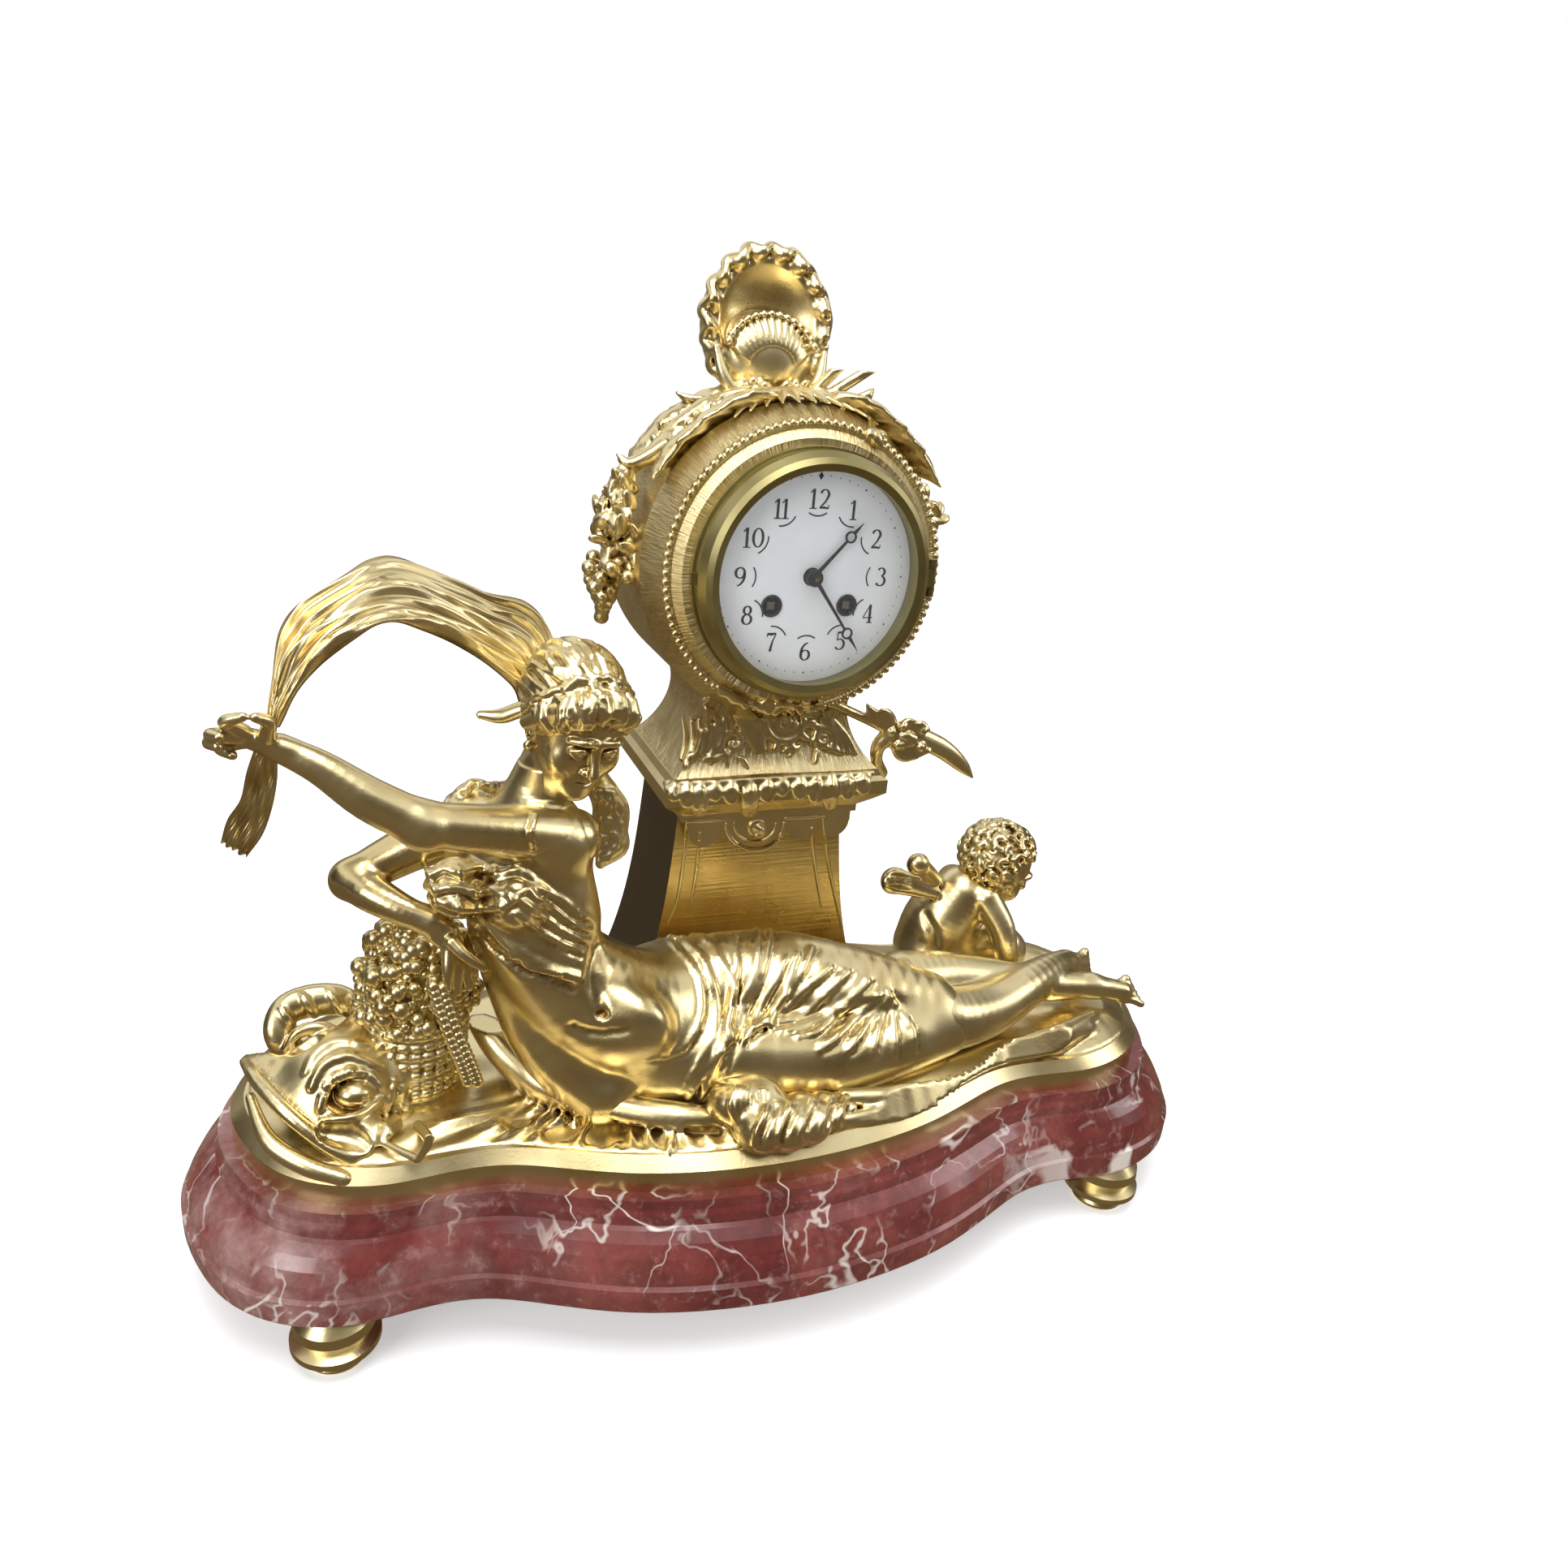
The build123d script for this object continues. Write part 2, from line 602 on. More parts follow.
MINUTE_ARBOR = polar(CANNON_MODULE * (CANNON_TEETH + MINUTE_WHEEL_TEETH) / 2, MINUTE_WHEEL_ANGLE)
HAMMER = (HAMMER_X, HAMMER_Y)
SMALL_ARBORS = (INTERMEDIATE, THIRD, ESCAPE, PIN_WHEEL, LOCKING, FLY, ANCHOR, HAMMER)


def plinth():
    """The marble slab with its moulded edge, stud holes and bolt holes."""
    wires = [
        plan_wire(PLINTH_LEDGE * inset, FOOT_HEIGHT + PLINTH_THICKNESS * height)
        for height, inset in PLINTH_PROFILE_SHARES
    ]
    slab = Solid.make_loft(wires, ruled=True)
    for place in four_places(FOOT_X_SHARE, FOOT_Y_SHARE):
        slab -= upright(STUD_RADIUS + PLAY, FOOT_HEIGHT - OVERRUN, FOOT_HEIGHT + STUD_IN_PLINTH + PLAY, place)
    for place in four_places(BOLT_X_SHARE, BOLT_Y_SHARE):
        slab -= upright(BOLT_RADIUS + PLAY, FOOT_HEIGHT - OVERRUN, PLINTH_TOP + OVERRUN, place)
        slab -= upright(BOLT_HEAD_RADIUS + SEAT_GAP, FOOT_HEIGHT - OVERRUN, FOOT_HEIGHT + BOLT_SINK, place)
    return slab


def foot(place):
    """A turned bun foot, drilled from above for its stud."""
    points = [(FOOT_RADIUS * r, FOOT_HEIGHT * h) for r, h in FOOT_PROFILE_SHARES]
    bun = turned([(0, 0)] + points + [(0, FOOT_HEIGHT)])
    bun -= upright(STUD_RADIUS + PLAY, FOOT_HEIGHT - STUD_IN_FOOT - PLAY, FOOT_HEIGHT + OVERRUN, (0, 0))
    return Pos(place[0], place[1], 0) * bun


def foot_stud(place):
    """The stud that holds a foot to the marble."""
    return upright(STUD_RADIUS, FOOT_HEIGHT - STUD_IN_FOOT, FOOT_HEIGHT + STUD_IN_PLINTH, place)


def terrace():
    """The bronze ground with its plain rim, hollow beneath, with four bolt bosses."""
    ground = Solid.make_loft([
        plan_wire(RIM_INSET, PLINTH_TOP),
        plan_wire(RIM_INSET, PLINTH_TOP + RIM_HEIGHT),
        plan_wire(GROUND_INSET, GROUND),
    ], ruled=True)
    hollow = Solid.make_loft([
        plan_wire(RIM_INSET + TERRACE_WALL, PLINTH_TOP - OVERRUN),
        plan_wire(RIM_INSET + TERRACE_WALL, PLINTH_TOP + RIM_HEIGHT - TERRACE_WALL),
        plan_wire(GROUND_INSET + TERRACE_WALL, GROUND - TERRACE_WALL),
    ], ruled=True)
    for place in four_places(BOLT_X_SHARE, BOLT_Y_SHARE):
        hollow -= upright(BOSS_RADIUS, PLINTH_TOP, GROUND, place)
    ground -= hollow
    for place in four_places(BOLT_X_SHARE, BOLT_Y_SHARE):
        ground -= upright(BOLT_RADIUS + PLAY, PLINTH_TOP - OVERRUN, PLINTH_TOP + BOLT_GRIP + PLAY, place)
    return biggest(ground)


def terrace_bolt(place):
    """A bolt from a sunk head under the marble up into the terrace."""
    seat = FOOT_HEIGHT + BOLT_SINK
    head = Pos(place[0], place[1], seat - BOLT_HEAD_HEIGHT) * extrude(
        RegularPolygon(BOLT_HEAD_RADIUS, 6), BOLT_HEAD_HEIGHT
    )
    return head + upright(BOLT_RADIUS, seat - BOLT_HEAD_HEIGHT / 2, PLINTH_TOP + BOLT_GRIP, place)


def pedestal():
    """The waisted hollow pedestal."""
    def sections(wall, reach):
        rows = []
        for height, width, depth in PEDESTAL_SHARES:
            lift = -reach if height == 0 else reach if height == 1 else 0
            size = (PEDESTAL_WIDTH * width - 2 * wall, PEDESTAL_DEPTH * depth - 2 * wall)
            rows.append((GROUND + PEDESTAL_HEIGHT * height + lift, *size))
        return rows
    outer = box_stack(sections(0, 0), lambda depth: PEDESTAL_BACK - depth / 2)
    inner_back = PEDESTAL_BACK - PEDESTAL_WALL
    inner = box_stack(sections(PEDESTAL_WALL, OVERRUN), lambda depth: inner_back - depth / 2)
    return outer - inner


def well(low, high):
    """The shaft in which the pendulum hangs."""
    return Pos(DIAL_X, DIAL_Y - PENDULUM_LEVEL, low) * Box(
        WELL_WIDTH, WELL_DEPTH, high - low, align=(Align.CENTER, Align.CENTER, Align.MIN)
    )


def cornice():
    """The stepped cornice, pierced for the pendulum."""
    rows = [
        (PEDESTAL_TOP + CORNICE_HEIGHT * height, CORNICE_WIDTH * size, CORNICE_DEPTH * size)
        for height, size in CORNICE_SHARES
    ]
    stack = box_stack(rows, lambda depth: CORNICE_Y, ruled=True)
    return stack - well(PEDESTAL_TOP - OVERRUN, CORNICE_TOP + OVERRUN)


def apron():
    """The scalloped strip that hangs from the front of the cornice."""
    front = CORNICE_Y - CORNICE_DEPTH * CORNICE_SHARES[0][1] / 2
    pitch = APRON_WIDTH / APRON_SCALLOPS
    strip = Pos(0, -APRON_DROP / 4) * Rectangle(APRON_WIDTH, APRON_DROP / 2)
    for index in range(APRON_SCALLOPS):
        middle = (index - (APRON_SCALLOPS - 1) / 2) * pitch
        strip += Pos(middle, -APRON_DROP / 2) * Circle(pitch / 2 * APRON_LOBE_SHARE)
    strip -= Pos(0, APRON_DROP / 2) * Rectangle(APRON_WIDTH, APRON_DROP)
    lobed = extrude(strip, APRON_THICKNESS)
    return Pos(DIAL_X, front + APRON_THICKNESS, PEDESTAL_TOP) * Rot(90, 0, 0) * lobed


def drum_profile(inset):
    """The drum's outer line, drawn in by a wall."""
    return [
        (LIP_RADIUS - inset, -DRUM_FRONT), (BEAD_RADIUS - inset, -DRUM_FRONT - BEAD_DEPTH),
        (DRUM_RADIUS - inset, -DRUM_FRONT - SHOULDER_DEPTH), (DRUM_RADIUS - inset, DRUM_BACK),
    ]


def drum_envelope():
    """The drum's outside as one plain solid, with room for what seats on it."""
    return DIAL_FRAME * turned([(0, -DRUM_FRONT)] + drum_profile(-PLAY) + [(0, DRUM_BACK)])


def drum():
    """The hollow drum case with a front lip, an open back, a bead ring and a slot for the pendulum."""
    inside = drum_profile(DRUM_WALL)
    shelf = -DRUM_FRONT - LIP_THICKNESS
    case = turned(
        [(LIP_BORE, -DRUM_FRONT)] + drum_profile(0)
        + [inside[3], inside[2], (LIP_RADIUS - DRUM_WALL, shelf), (LIP_BORE, shelf)]
    )
    bead = Pos(0, 0, -DRUM_FRONT - BEAD_DEPTH) * Torus(BEAD_RADIUS, BEAD_SIZE)
    slot = Pos(0, -DRUM_RADIUS, PENDULUM_LEVEL) * Box(DRUM_SLOT_WIDTH, DRUM_RADIUS, DRUM_SLOT_LENGTH)
    return DIAL_FRAME * (case + bead - slot)


def neck(case):
    """The flaring neck that carries the drum."""
    rise = NECK_TOP - CORNICE_TOP
    rows = [(CORNICE_TOP + rise * h, NECK_WIDTH * w, NECK_DEPTH * d) for h, w, d in NECK_SHARES]
    block = box_stack(rows, lambda depth: NECK_Y) - well(CORNICE_TOP - OVERRUN, NECK_TOP + OVERRUN)
    return biggest(block - case)


def crest(case):
    """The oval shell on top of the drum: a ruffled disc with a bowl sunk in its front."""
    half_height = (CREST_HEIGHT + CREST_SINK) / 2
    middle = DRUM_RADIUS + CREST_HEIGHT - half_height
    steps = CREST_RUFFLES * 4
    points = []
    for index in range(steps):
        turn = 2 * pi * index / steps
        wave = 1 + CREST_RUFFLE_SHARE * (cos(CREST_RUFFLES * turn - pi / 2) - 1)
        points.append((CREST_WIDTH / 2 * wave * cos(turn), middle + half_height * wave * sin(turn)))
    disc = extrude(make_face(Polyline(*points, close=True)), CREST_THICKNESS)
    bowl = Pos(0, middle, CREST_THICKNESS + CREST_BOWL_RADIUS - CREST_BOWL_DEPTH) * Sphere(CREST_BOWL_RADIUS)
    return biggest(DIAL_FRAME * Pos(0, 0, -CREST_DEPTH) * (disc - bowl) - case)


def crest_leaves():
    """Two broad leaves that lie on the drum either side of the crest, with two reeds on the right one."""
    face = Pos(DRUM_RADIUS + LEAF_THICKNESS / 2, 0, -LEAF_DEPTH - LEAF_BREADTH / 2) * (
        Plane.XZ * Rectangle(LEAF_THICKNESS, LEAF_BREADTH)
    )
    leaves = []
    for start in LEAF_START_ANGLES:
        leaves.append(Rot(0, 0, start) * revolve(face, axis=Axis.Z, revolution_arc=LEAF_ARC_ANGLE))
    level = -LEAF_DEPTH - LEAF_BREADTH / 2
    for root, tip in zip(REED_ROOT_SHARES, REED_TIP_SHARES):
        points = [(DRUM_RADIUS * x, DRUM_RADIUS * y, level) for x, y in (root, tip)]
        leaves[0] += limb(points, (REED_RADIUS, REED_RADIUS * JOINT_SWELL_SHARE))
    hidden = rod(DRUM_RADIUS + PLAY, DRUM_BACK, -DRUM_FRONT)
    return [biggest(DIAL_FRAME * (leaf - hidden)) for leaf in leaves]


def swags():
    """A cluster of fruit down the right side of the drum, and its mirror image down the left."""
    hidden = Rot(0, 0, FRUIT_TOP_ANGLE + 90) * rod(DRUM_RADIUS + PLAY, DRUM_BACK, -DRUM_FRONT)
    cluster = None
    for index in range(FRUIT_COUNT):
        size = FRUIT_RADIUS * (1 - FRUIT_TAPER_SHARE * index)
        x, y = polar(DRUM_RADIUS + size / 2, FRUIT_TOP_ANGLE - FRUIT_STEP_ANGLE * index)
        fruit = Pos(x, y, -FRUIT_DEPTH) * Sphere(size)
        cluster = fruit if cluster is None else cluster + fruit
    cluster = biggest(cluster - hidden)
    return [DIAL_FRAME * cluster, DIAL_FRAME * mirror(cluster, about=Plane.YZ)]


def spray(*cuts):
    """The leafy reed that sticks out to the right under the drum."""
    root = (DIAL_X + SPRAY_X, DIAL_Y + SPRAY_Y, DIAL_Z - SPRAY_Z)
    points = [tuple(r + SPRAY_LENGTH * s for r, s in zip(root, shares)) for shares in SPRAY_SHARES]
    reed = limb(points, [SPRAY_RADIUS * swell for swell in SPRAY_SWELL_SHARES])
    for cut in cuts:
        reed -= cut
    return biggest(reed)


def nymph_place(shares):
    """A place on the nymph from shares of her box."""
    x, y, z = shares
    return (NYMPH_X + NYMPH_LENGTH * x, NYMPH_Y + NYMPH_DEPTH * y, GROUND + NYMPH_HEIGHT * z)


def nymph_limb(places, radius_shares):
    """A chain of tapering rods on the nymph."""
    return limb([nymph_place(place) for place in places], [NYMPH_HEAD * share for share in radius_shares])


def above_ground(shape):
    """Cut a figure flat where it sits on the terrace."""
    below = Pos(0, 0, GROUND) * Box(
        PLINTH_LENGTH, PLINTH_DEPTH, PLINTH_TOP, align=(Align.CENTER, Align.CENTER, Align.MAX)
    )
    return shape - below


def nymph_body():
    """Torso, ribs, shoulders, breasts, belly and the draped thighs."""
    figure = nymph_limb(TORSO_SHARES, TORSO_RADIUS_SHARES)
    figure += nymph_limb(SHOULDER_SHARES, SHOULDER_RADIUS_SHARES)
    figure += nymph_limb(RIB_SHARES, RIB_RADIUS_SHARES)
    for place in BREAST_SHARES:
        breast = Rot(*JOINT_TURN_ANGLES) * Sphere(NYMPH_HEAD * BREAST_RADIUS_SHARE)
        figure += Pos(*nymph_place(place)) * breast
    figure += nymph_limb(BELLY_SHARES, BELLY_RADIUS_SHARES)
    figure += nymph_limb(NEAR_THIGH_SHARES, NEAR_THIGH_RADIUS_SHARES)
    figure += nymph_limb(FAR_THIGH_SHARES, FAR_THIGH_RADIUS_SHARES)
    return biggest(above_ground(figure))


def cut_by(shape, cuts):
    """A figure's piece, cut where it meets earlier pieces."""
    for cut in cuts:
        shape = shape - cut
    return biggest(shape)


def scarf_ribbon(places, widths):
    """A ribbon lofted through thin upright sections that follow a row of places."""
    points = [Vector(*nymph_place(place)) for place in places]
    faces = []
    for index, width in enumerate(widths):
        before = points[max(index - 1, 0)]
        after = points[min(index + 1, len(points) - 1)]
        plane = Plane(origin=points[index], x_dir=(0, 1, 0), z_dir=after - before)
        faces.append(plane * Rectangle(width, SCARF_THICKNESS))
    return loft(faces, ruled=True)


def scarf(cuts):
    """The billowing scarf with its tail, held in the raised hand."""
    count = len(SCARF_SHARES)
    widths = [SCARF_WIDTH * (SCARF_PINCH_SHARE if i in (0, count - 1) else 1) for i in range(count)]
    arch = scarf_ribbon(SCARF_SHARES, widths)
    tail = scarf_ribbon(SCARF_TAIL_SHARES, [SCARF_TAIL_WIDTH] * len(SCARF_TAIL_SHARES))
    grip = nymph_limb((SCARF_SHARES[0], SCARF_TAIL_SHARES[0]), SCARF_GRIP_SHARES)
    return cut_by(arch + tail + grip, cuts)


def terrace_limb(places, radius_shares, size):
    """A chain of rods on the terrace, placed by shares of the plinth and of the beast's size."""
    points = [
        (PLINTH_LENGTH / 2 * x, PLINTH_DEPTH / 2 * y, GROUND + size * z) for x, y, z in places
    ]
    return above_ground(limb(points, [size * share for share in radius_shares]))


def creel(cuts):
    """The round creel under her resting hand."""
    points = [(CREEL_RADIUS * r, CREEL_HEIGHT * h) for r, h in CREEL_PROFILE_SHARES]
    vessel = turned([(0, 0)] + points + [(0, CREEL_HEIGHT)])
    place = (PLINTH_LENGTH / 2 * CREEL_X_SHARE, PLINTH_DEPTH / 2 * CREEL_Y_SHARE, GROUND)
    return cut_by(Pos(*place) * vessel, cuts)


def front_shell(cuts):
    """The conch that lies in front of the nymph, flat on the ground."""
    points = [(SHELL_SIZE * r, SHELL_SIZE * h) for r, h in SHELL_PROFILE_SHARES]
    ends = [(0, points[0][1])] + points + [(0, points[-1][1])]
    x, y, z = SHELL_PLACE_SHARES
    place = Pos(PLINTH_LENGTH / 2 * x, PLINTH_DEPTH / 2 * y, GROUND + SHELL_SIZE * z)
    return cut_by(above_ground(place * Rot(*SHELL_TURN_ANGLES) * turned(ends)), cuts)


def putto_limb(places, radius_shares):
    """A chain of rods on the putto."""
    seat_x = PLINTH_LENGTH / 2 * PUTTO_X_SHARE
    seat_y = PLINTH_DEPTH / 2 * PUTTO_Y_SHARE
    points = [
        (seat_x + PUTTO_HEIGHT * x, seat_y + PUTTO_HEIGHT * y, GROUND + PUTTO_HEIGHT * z)
        for x, y, z in places
    ]
    return limb(points, [PUTTO_HEIGHT * share for share in radius_shares])


def putto_body(cuts):
    """The putto's trunk, one arm, folded leg and wings."""
    trunk = putto_limb((PUTTO_SEAT_SHARES, PUTTO_CHEST_SHARES), PUTTO_TORSO_RADIUS_SHARES)
    trunk += putto_limb(PUTTO_LEG_SHARES, PUTTO_LEG_RADIUS_SHARES)
    trunk += putto_limb(PUTTO_ARM_SHARES, PUTTO_ARM_RADIUS_SHARES)
    trunk += putto_limb(PUTTO_WING_SHARES, PUTTO_WING_RADIUS_SHARES)
    return cut_by(above_ground(trunk), cuts)


def dial():
    """The enamel dial with its centre hole and two winding holes."""
    disc = rod(DIAL_RADIUS, -DIAL_THICKNESS, 0) - rod(DIAL_BORE, -DIAL_THICKNESS - OVERRUN, OVERRUN)
    for place in (GOING, STRIKE):
        disc -= rod(WINDING_HOLE, -DIAL_THICKNESS - OVERRUN, OVERRUN, place)
    return DIAL_FRAME * disc


def hinge_bar(low, high, reach, rise):
    """An upright hinge barrel beside a ring, standing forward of the dial face."""
    return Pos(reach, low, rise) * Rot(-90, 0, 0) * Cylinder(
        HINGE_RADIUS, high - low, align=(Align.CENTER, Align.CENTER, Align.MIN)
    )


def hinge_pin(length, radius, reach, rise):
    """The pin of an upright hinge."""
    return Pos(reach, 0, rise) * Rot(90, 0, 0) * Cylinder(radius, length)


def dial_plate():
    """The brass plate and ring that hold the dial, with dial feet and the bezel's outer knuckles."""
    back = -DRUM_FRONT
    plate = rod(RING_RADIUS, back, back + DIAL_PLATE_THICKNESS)
    plate += tube(RING_RADIUS, RING_BORE, back, 0)
    plate -= rod(DIAL_BORE, back - OVERRUN, OVERRUN)
    for place in (GOING, STRIKE):
        plate -= rod(WINDING_HOLE, back - OVERRUN, OVERRUN, place)
    for angle in DIAL_FOOT_ANGLES:
        plate += rod(DIAL_FOOT_RADIUS, FRONT_PLATE_TOP, back, polar(DIAL_FOOT_REACH, angle))
    half = HINGE_LENGTH / 2 + HINGE_GAP
    for low, high in ((half, half + HINGE_LENGTH / 2), (-half - HINGE_LENGTH / 2, -half)):
        leaf = Pos(RING_RADIUS + (HINGE_REACH - RING_RADIUS) / 2, (low + high) / 2, (HINGE_RISE + back) / 2)
        web = leaf * Box(HINGE_REACH - RING_RADIUS + HINGE_RADIUS * 2, high - low, HINGE_RISE - back)
        web -= rod(RING_BORE, -DRUM_FRONT, HINGE_RISE + HINGE_RADIUS)
        web -= rod(RING_RADIUS, 0, HINGE_RISE + HINGE_RADIUS)
        plate += hinge_bar(low, high, HINGE_REACH, HINGE_RISE) + web
    plate += hinge_pin(2 * HINGE_LENGTH, HINGE_PIN_RADIUS, HINGE_REACH, HINGE_RISE)
    return DIAL_FRAME * plate


def front_bezel():
    """The hinged brass bezel with its middle knuckle and thumb tab."""
    span = BEZEL_RADIUS - BEZEL_SIGHT
    points = [(BEZEL_SIGHT + span * r, BEZEL_GAP + BEZEL_HEIGHT * h) for r, h in BEZEL_SHARES]
    ring = turned(points)
    ring -= rod(BEZEL_SIGHT + GLASS_LAND + PLAY, 0, GLASS_SEAT + GLASS_THICKNESS + PLAY)
    knuckle = hinge_bar(-HINGE_LENGTH / 2, HINGE_LENGTH / 2, HINGE_REACH, HINGE_RISE)
    arm_length = HINGE_REACH - BEZEL_RADIUS + span / 2
    arm = Pos(HINGE_REACH - arm_length / 2, 0, HINGE_RISE + HINGE_RADIUS / 2) * Box(
        arm_length, HINGE_LENGTH, HINGE_RADIUS
    )
    ring += knuckle + arm
    ring -= hinge_pin(3 * HINGE_LENGTH, HINGE_PIN_RADIUS + PLAY, HINGE_REACH, HINGE_RISE)
    ring += Pos(-BEZEL_RADIUS, 0, BEZEL_GAP + BEZEL_HEIGHT / 4) * Box(
        THUMB_TAB, THUMB_TAB, THUMB_TAB_THICKNESS
    )
    return DIAL_FRAME * ring


def dial_glass():
    """The convex glass that lies in the bezel's rebate."""
    edge = BEZEL_SIGHT + GLASS_LAND
    reach = BEZEL_SIGHT - PLAY
    half = reach / 2
    curve = (reach ** 2 + GLASS_RISE ** 2) / (2 * GLASS_RISE)
    swell = sqrt(curve ** 2 - half ** 2) - (curve - GLASS_RISE)
    top = GLASS_SEAT + GLASS_THICKNESS
    outside = ThreePointArc((0, top + GLASS_RISE), (half, top + swell), (reach, top))
    inside = ThreePointArc((reach, GLASS_SEAT), (half, GLASS_SEAT + swell), (0, GLASS_SEAT + GLASS_RISE))
    rim = Polyline((reach, top), (edge, top), (edge, GLASS_SEAT), (reach, GLASS_SEAT))
    axis = Line((0, GLASS_SEAT + GLASS_RISE), (0, top + GLASS_RISE))
    section = make_face(Plane.XZ * Curve(children=[outside, rim, inside, axis]))
    return DIAL_FRAME * revolve(section, axis=Axis.Z)


def rear_ring():
    """The ring that the movement's straps draw into the back of the drum, with outer hinge knuckles."""
    outer = DRUM_RADIUS - DRUM_WALL - PLAY
    ring = tube(outer, outer - REAR_RING_WIDTH, DRUM_BACK, DRUM_BACK + REAR_RING_DEPTH)
    reach, rise = rear_hinge()
    half = HINGE_LENGTH / 2 + HINGE_GAP
    for low, high in ((half, half + HINGE_LENGTH / 2), (-half - HINGE_LENGTH / 2, -half)):
        web = Pos(reach, (low + high) / 2, (rise + DRUM_BACK) / 2) * Box(
            HINGE_RADIUS, high - low, DRUM_BACK - rise
        )
        ring += hinge_bar(low, high, reach, rise) + web
    ring += hinge_pin(2 * HINGE_LENGTH, HINGE_PIN_RADIUS, reach, rise)
    for angle in STRAP_ANGLES:
        hole = polar(STRAP_REACH + rear_foot(), angle)
        top = DRUM_BACK + REAR_RING_DEPTH + OVERRUN
        ring -= rod(STRAP_SCREW_RADIUS + PLAY, DRUM_BACK - OVERRUN, top, hole)
    return DIAL_FRAME * ring


def rear_hinge():
    """Where the rear door's hinge stands: sideways reach and height."""
    reach = DRUM_RADIUS - DRUM_WALL - HINGE_RADIUS
    return reach, DRUM_BACK - HINGE_RADIUS - SEAT_GAP


def rear_foot():
    """How far a strap's foot reaches out under the rear ring."""
    return DRUM_RADIUS - DRUM_WALL - REAR_RING_WIDTH / 2 - STRAP_REACH


def rear_door():
    """The rear door, a plain disc with its middle knuckle."""
    reach, rise = rear_hinge()
    radius = DRUM_RADIUS - DRUM_WALL - REAR_RING_WIDTH + REAR_DOOR_OVERLAP
    high = DRUM_BACK - STRAP_SCREW_HEAD_HEIGHT - SEAT_GAP
    low = high - REAR_DOOR_THICKNESS
    door = rod(radius, low, high)
    door += hinge_bar(-HINGE_LENGTH / 2, HINGE_LENGTH / 2, reach, rise)
    arm = reach - radius + REAR_DOOR_OVERLAP
    door += Pos(reach - arm / 2, 0, (low + high) / 2) * Box(arm, HINGE_LENGTH, REAR_DOOR_THICKNESS)
    door -= hinge_pin(3 * HINGE_LENGTH, HINGE_PIN_RADIUS + PLAY, reach, rise)
    return DIAL_FRAME * door


def movement_plate(low, bores):
    """A round brass plate with pivot holes, a centre hole and barrel holes."""
    plate = rod(PLATE_RADIUS, low, low + PLATE_THICKNESS)
    for place in SMALL_ARBORS:
        plate -= rod(PIVOT_RADIUS + PLAY, low - OVERRUN, low + PLATE_THICKNESS + OVERRUN, place)
    for place, radius in bores:
        plate -= rod(radius + PLAY, low - OVERRUN, low + PLATE_THICKNESS + OVERRUN, place)
    return plate


def front_plate():
    """The front plate with the minute wheel's stud."""
    bores = ((CENTRE, CENTRE_ARBOR_RADIUS), (GOING, BARREL_ARBOR_RADIUS), (STRIKE, BARREL_ARBOR_RADIUS))
    plate = movement_plate(FRONT_PLATE_TOP - PLATE_THICKNESS, bores)
    return DIAL_FRAME * (plate + rod(STUD_POST_RADIUS, FRONT_PLATE_TOP - PLAY, motion_top(), MINUTE_ARBOR))


def back_plate():
    """The back plate, opened for the anchor arbor and the hammer arbor."""
    bores = (
        (CENTRE, PIVOT_RADIUS), (GOING, BARREL_ARBOR_RADIUS), (STRIKE, BARREL_ARBOR_RADIUS),
        (ANCHOR, ARBOR_RADIUS), (HAMMER, ARBOR_RADIUS),
    )
    return DIAL_FRAME * movement_plate(BACK_PLATE_BACK, bores)


def pillar(angle):
    """A pillar between the plates."""
    return DIAL_FRAME * rod(PILLAR_RADIUS, BACK_PLATE_TOP, SPACE_TOP, polar(PILLAR_REACH, angle))


def strap(angle):
    """A strap from the dial plate to the rear ring, beside the movement."""
    high = -DRUM_FRONT
    low = DRUM_BACK + REAR_RING_DEPTH
    bar = Pos(STRAP_REACH, 0, (low + high) / 2) * Box(STRAP_THICKNESS, STRAP_WIDTH, high - low)
    width = rear_foot() + STRAP_SCREW_HEAD
    sole = Pos(STRAP_REACH + width / 2, 0, low + STRAP_THICKNESS / 2)
    bar += sole * Box(width, STRAP_WIDTH, STRAP_THICKNESS)
    hole = (STRAP_REACH + rear_foot(), 0)
    bar -= rod(STRAP_SCREW_RADIUS + PLAY, low - OVERRUN, low + STRAP_THICKNESS + OVERRUN, hole)
    return DIAL_FRAME * Rot(0, 0, angle) * bar


def strap_screw(angle):
    """A screw through the rear ring into a strap's foot."""
    place = polar(STRAP_REACH + rear_foot(), angle)
    head = rod(STRAP_SCREW_HEAD, DRUM_BACK - STRAP_SCREW_HEAD_HEIGHT, DRUM_BACK, place)
    top = DRUM_BACK + REAR_RING_DEPTH + STRAP_THICKNESS
    return DIAL_FRAME * (head + rod(STRAP_SCREW_RADIUS, DRUM_BACK - PLAY, top, place))


def barrel(place, wheel_behind, tooth_at):
    """A spring barrel with its great wheel at one end."""
    high = SPACE_TOP - BARREL_FRONT_GAP
    low = high - BARREL_LENGTH
    shell = rod(BARREL_RADIUS, low, high, place)
    shell -= rod(BARREL_RADIUS - BARREL_WALL, low + BARREL_WALL, high - BARREL_WALL, place)
    edge = low - GREAT_WHEEL_THICKNESS if wheel_behind else high
    shell += gear(BARREL_TEETH, BARREL_MODULE, tooth_at, edge, edge + GREAT_WHEEL_THICKNESS, place)
    shell -= rod(BARREL_ARBOR_RADIUS + PLAY, low - BARREL_BORE_REACH, high + BARREL_BORE_REACH, place)
    return DIAL_FRAME * shell


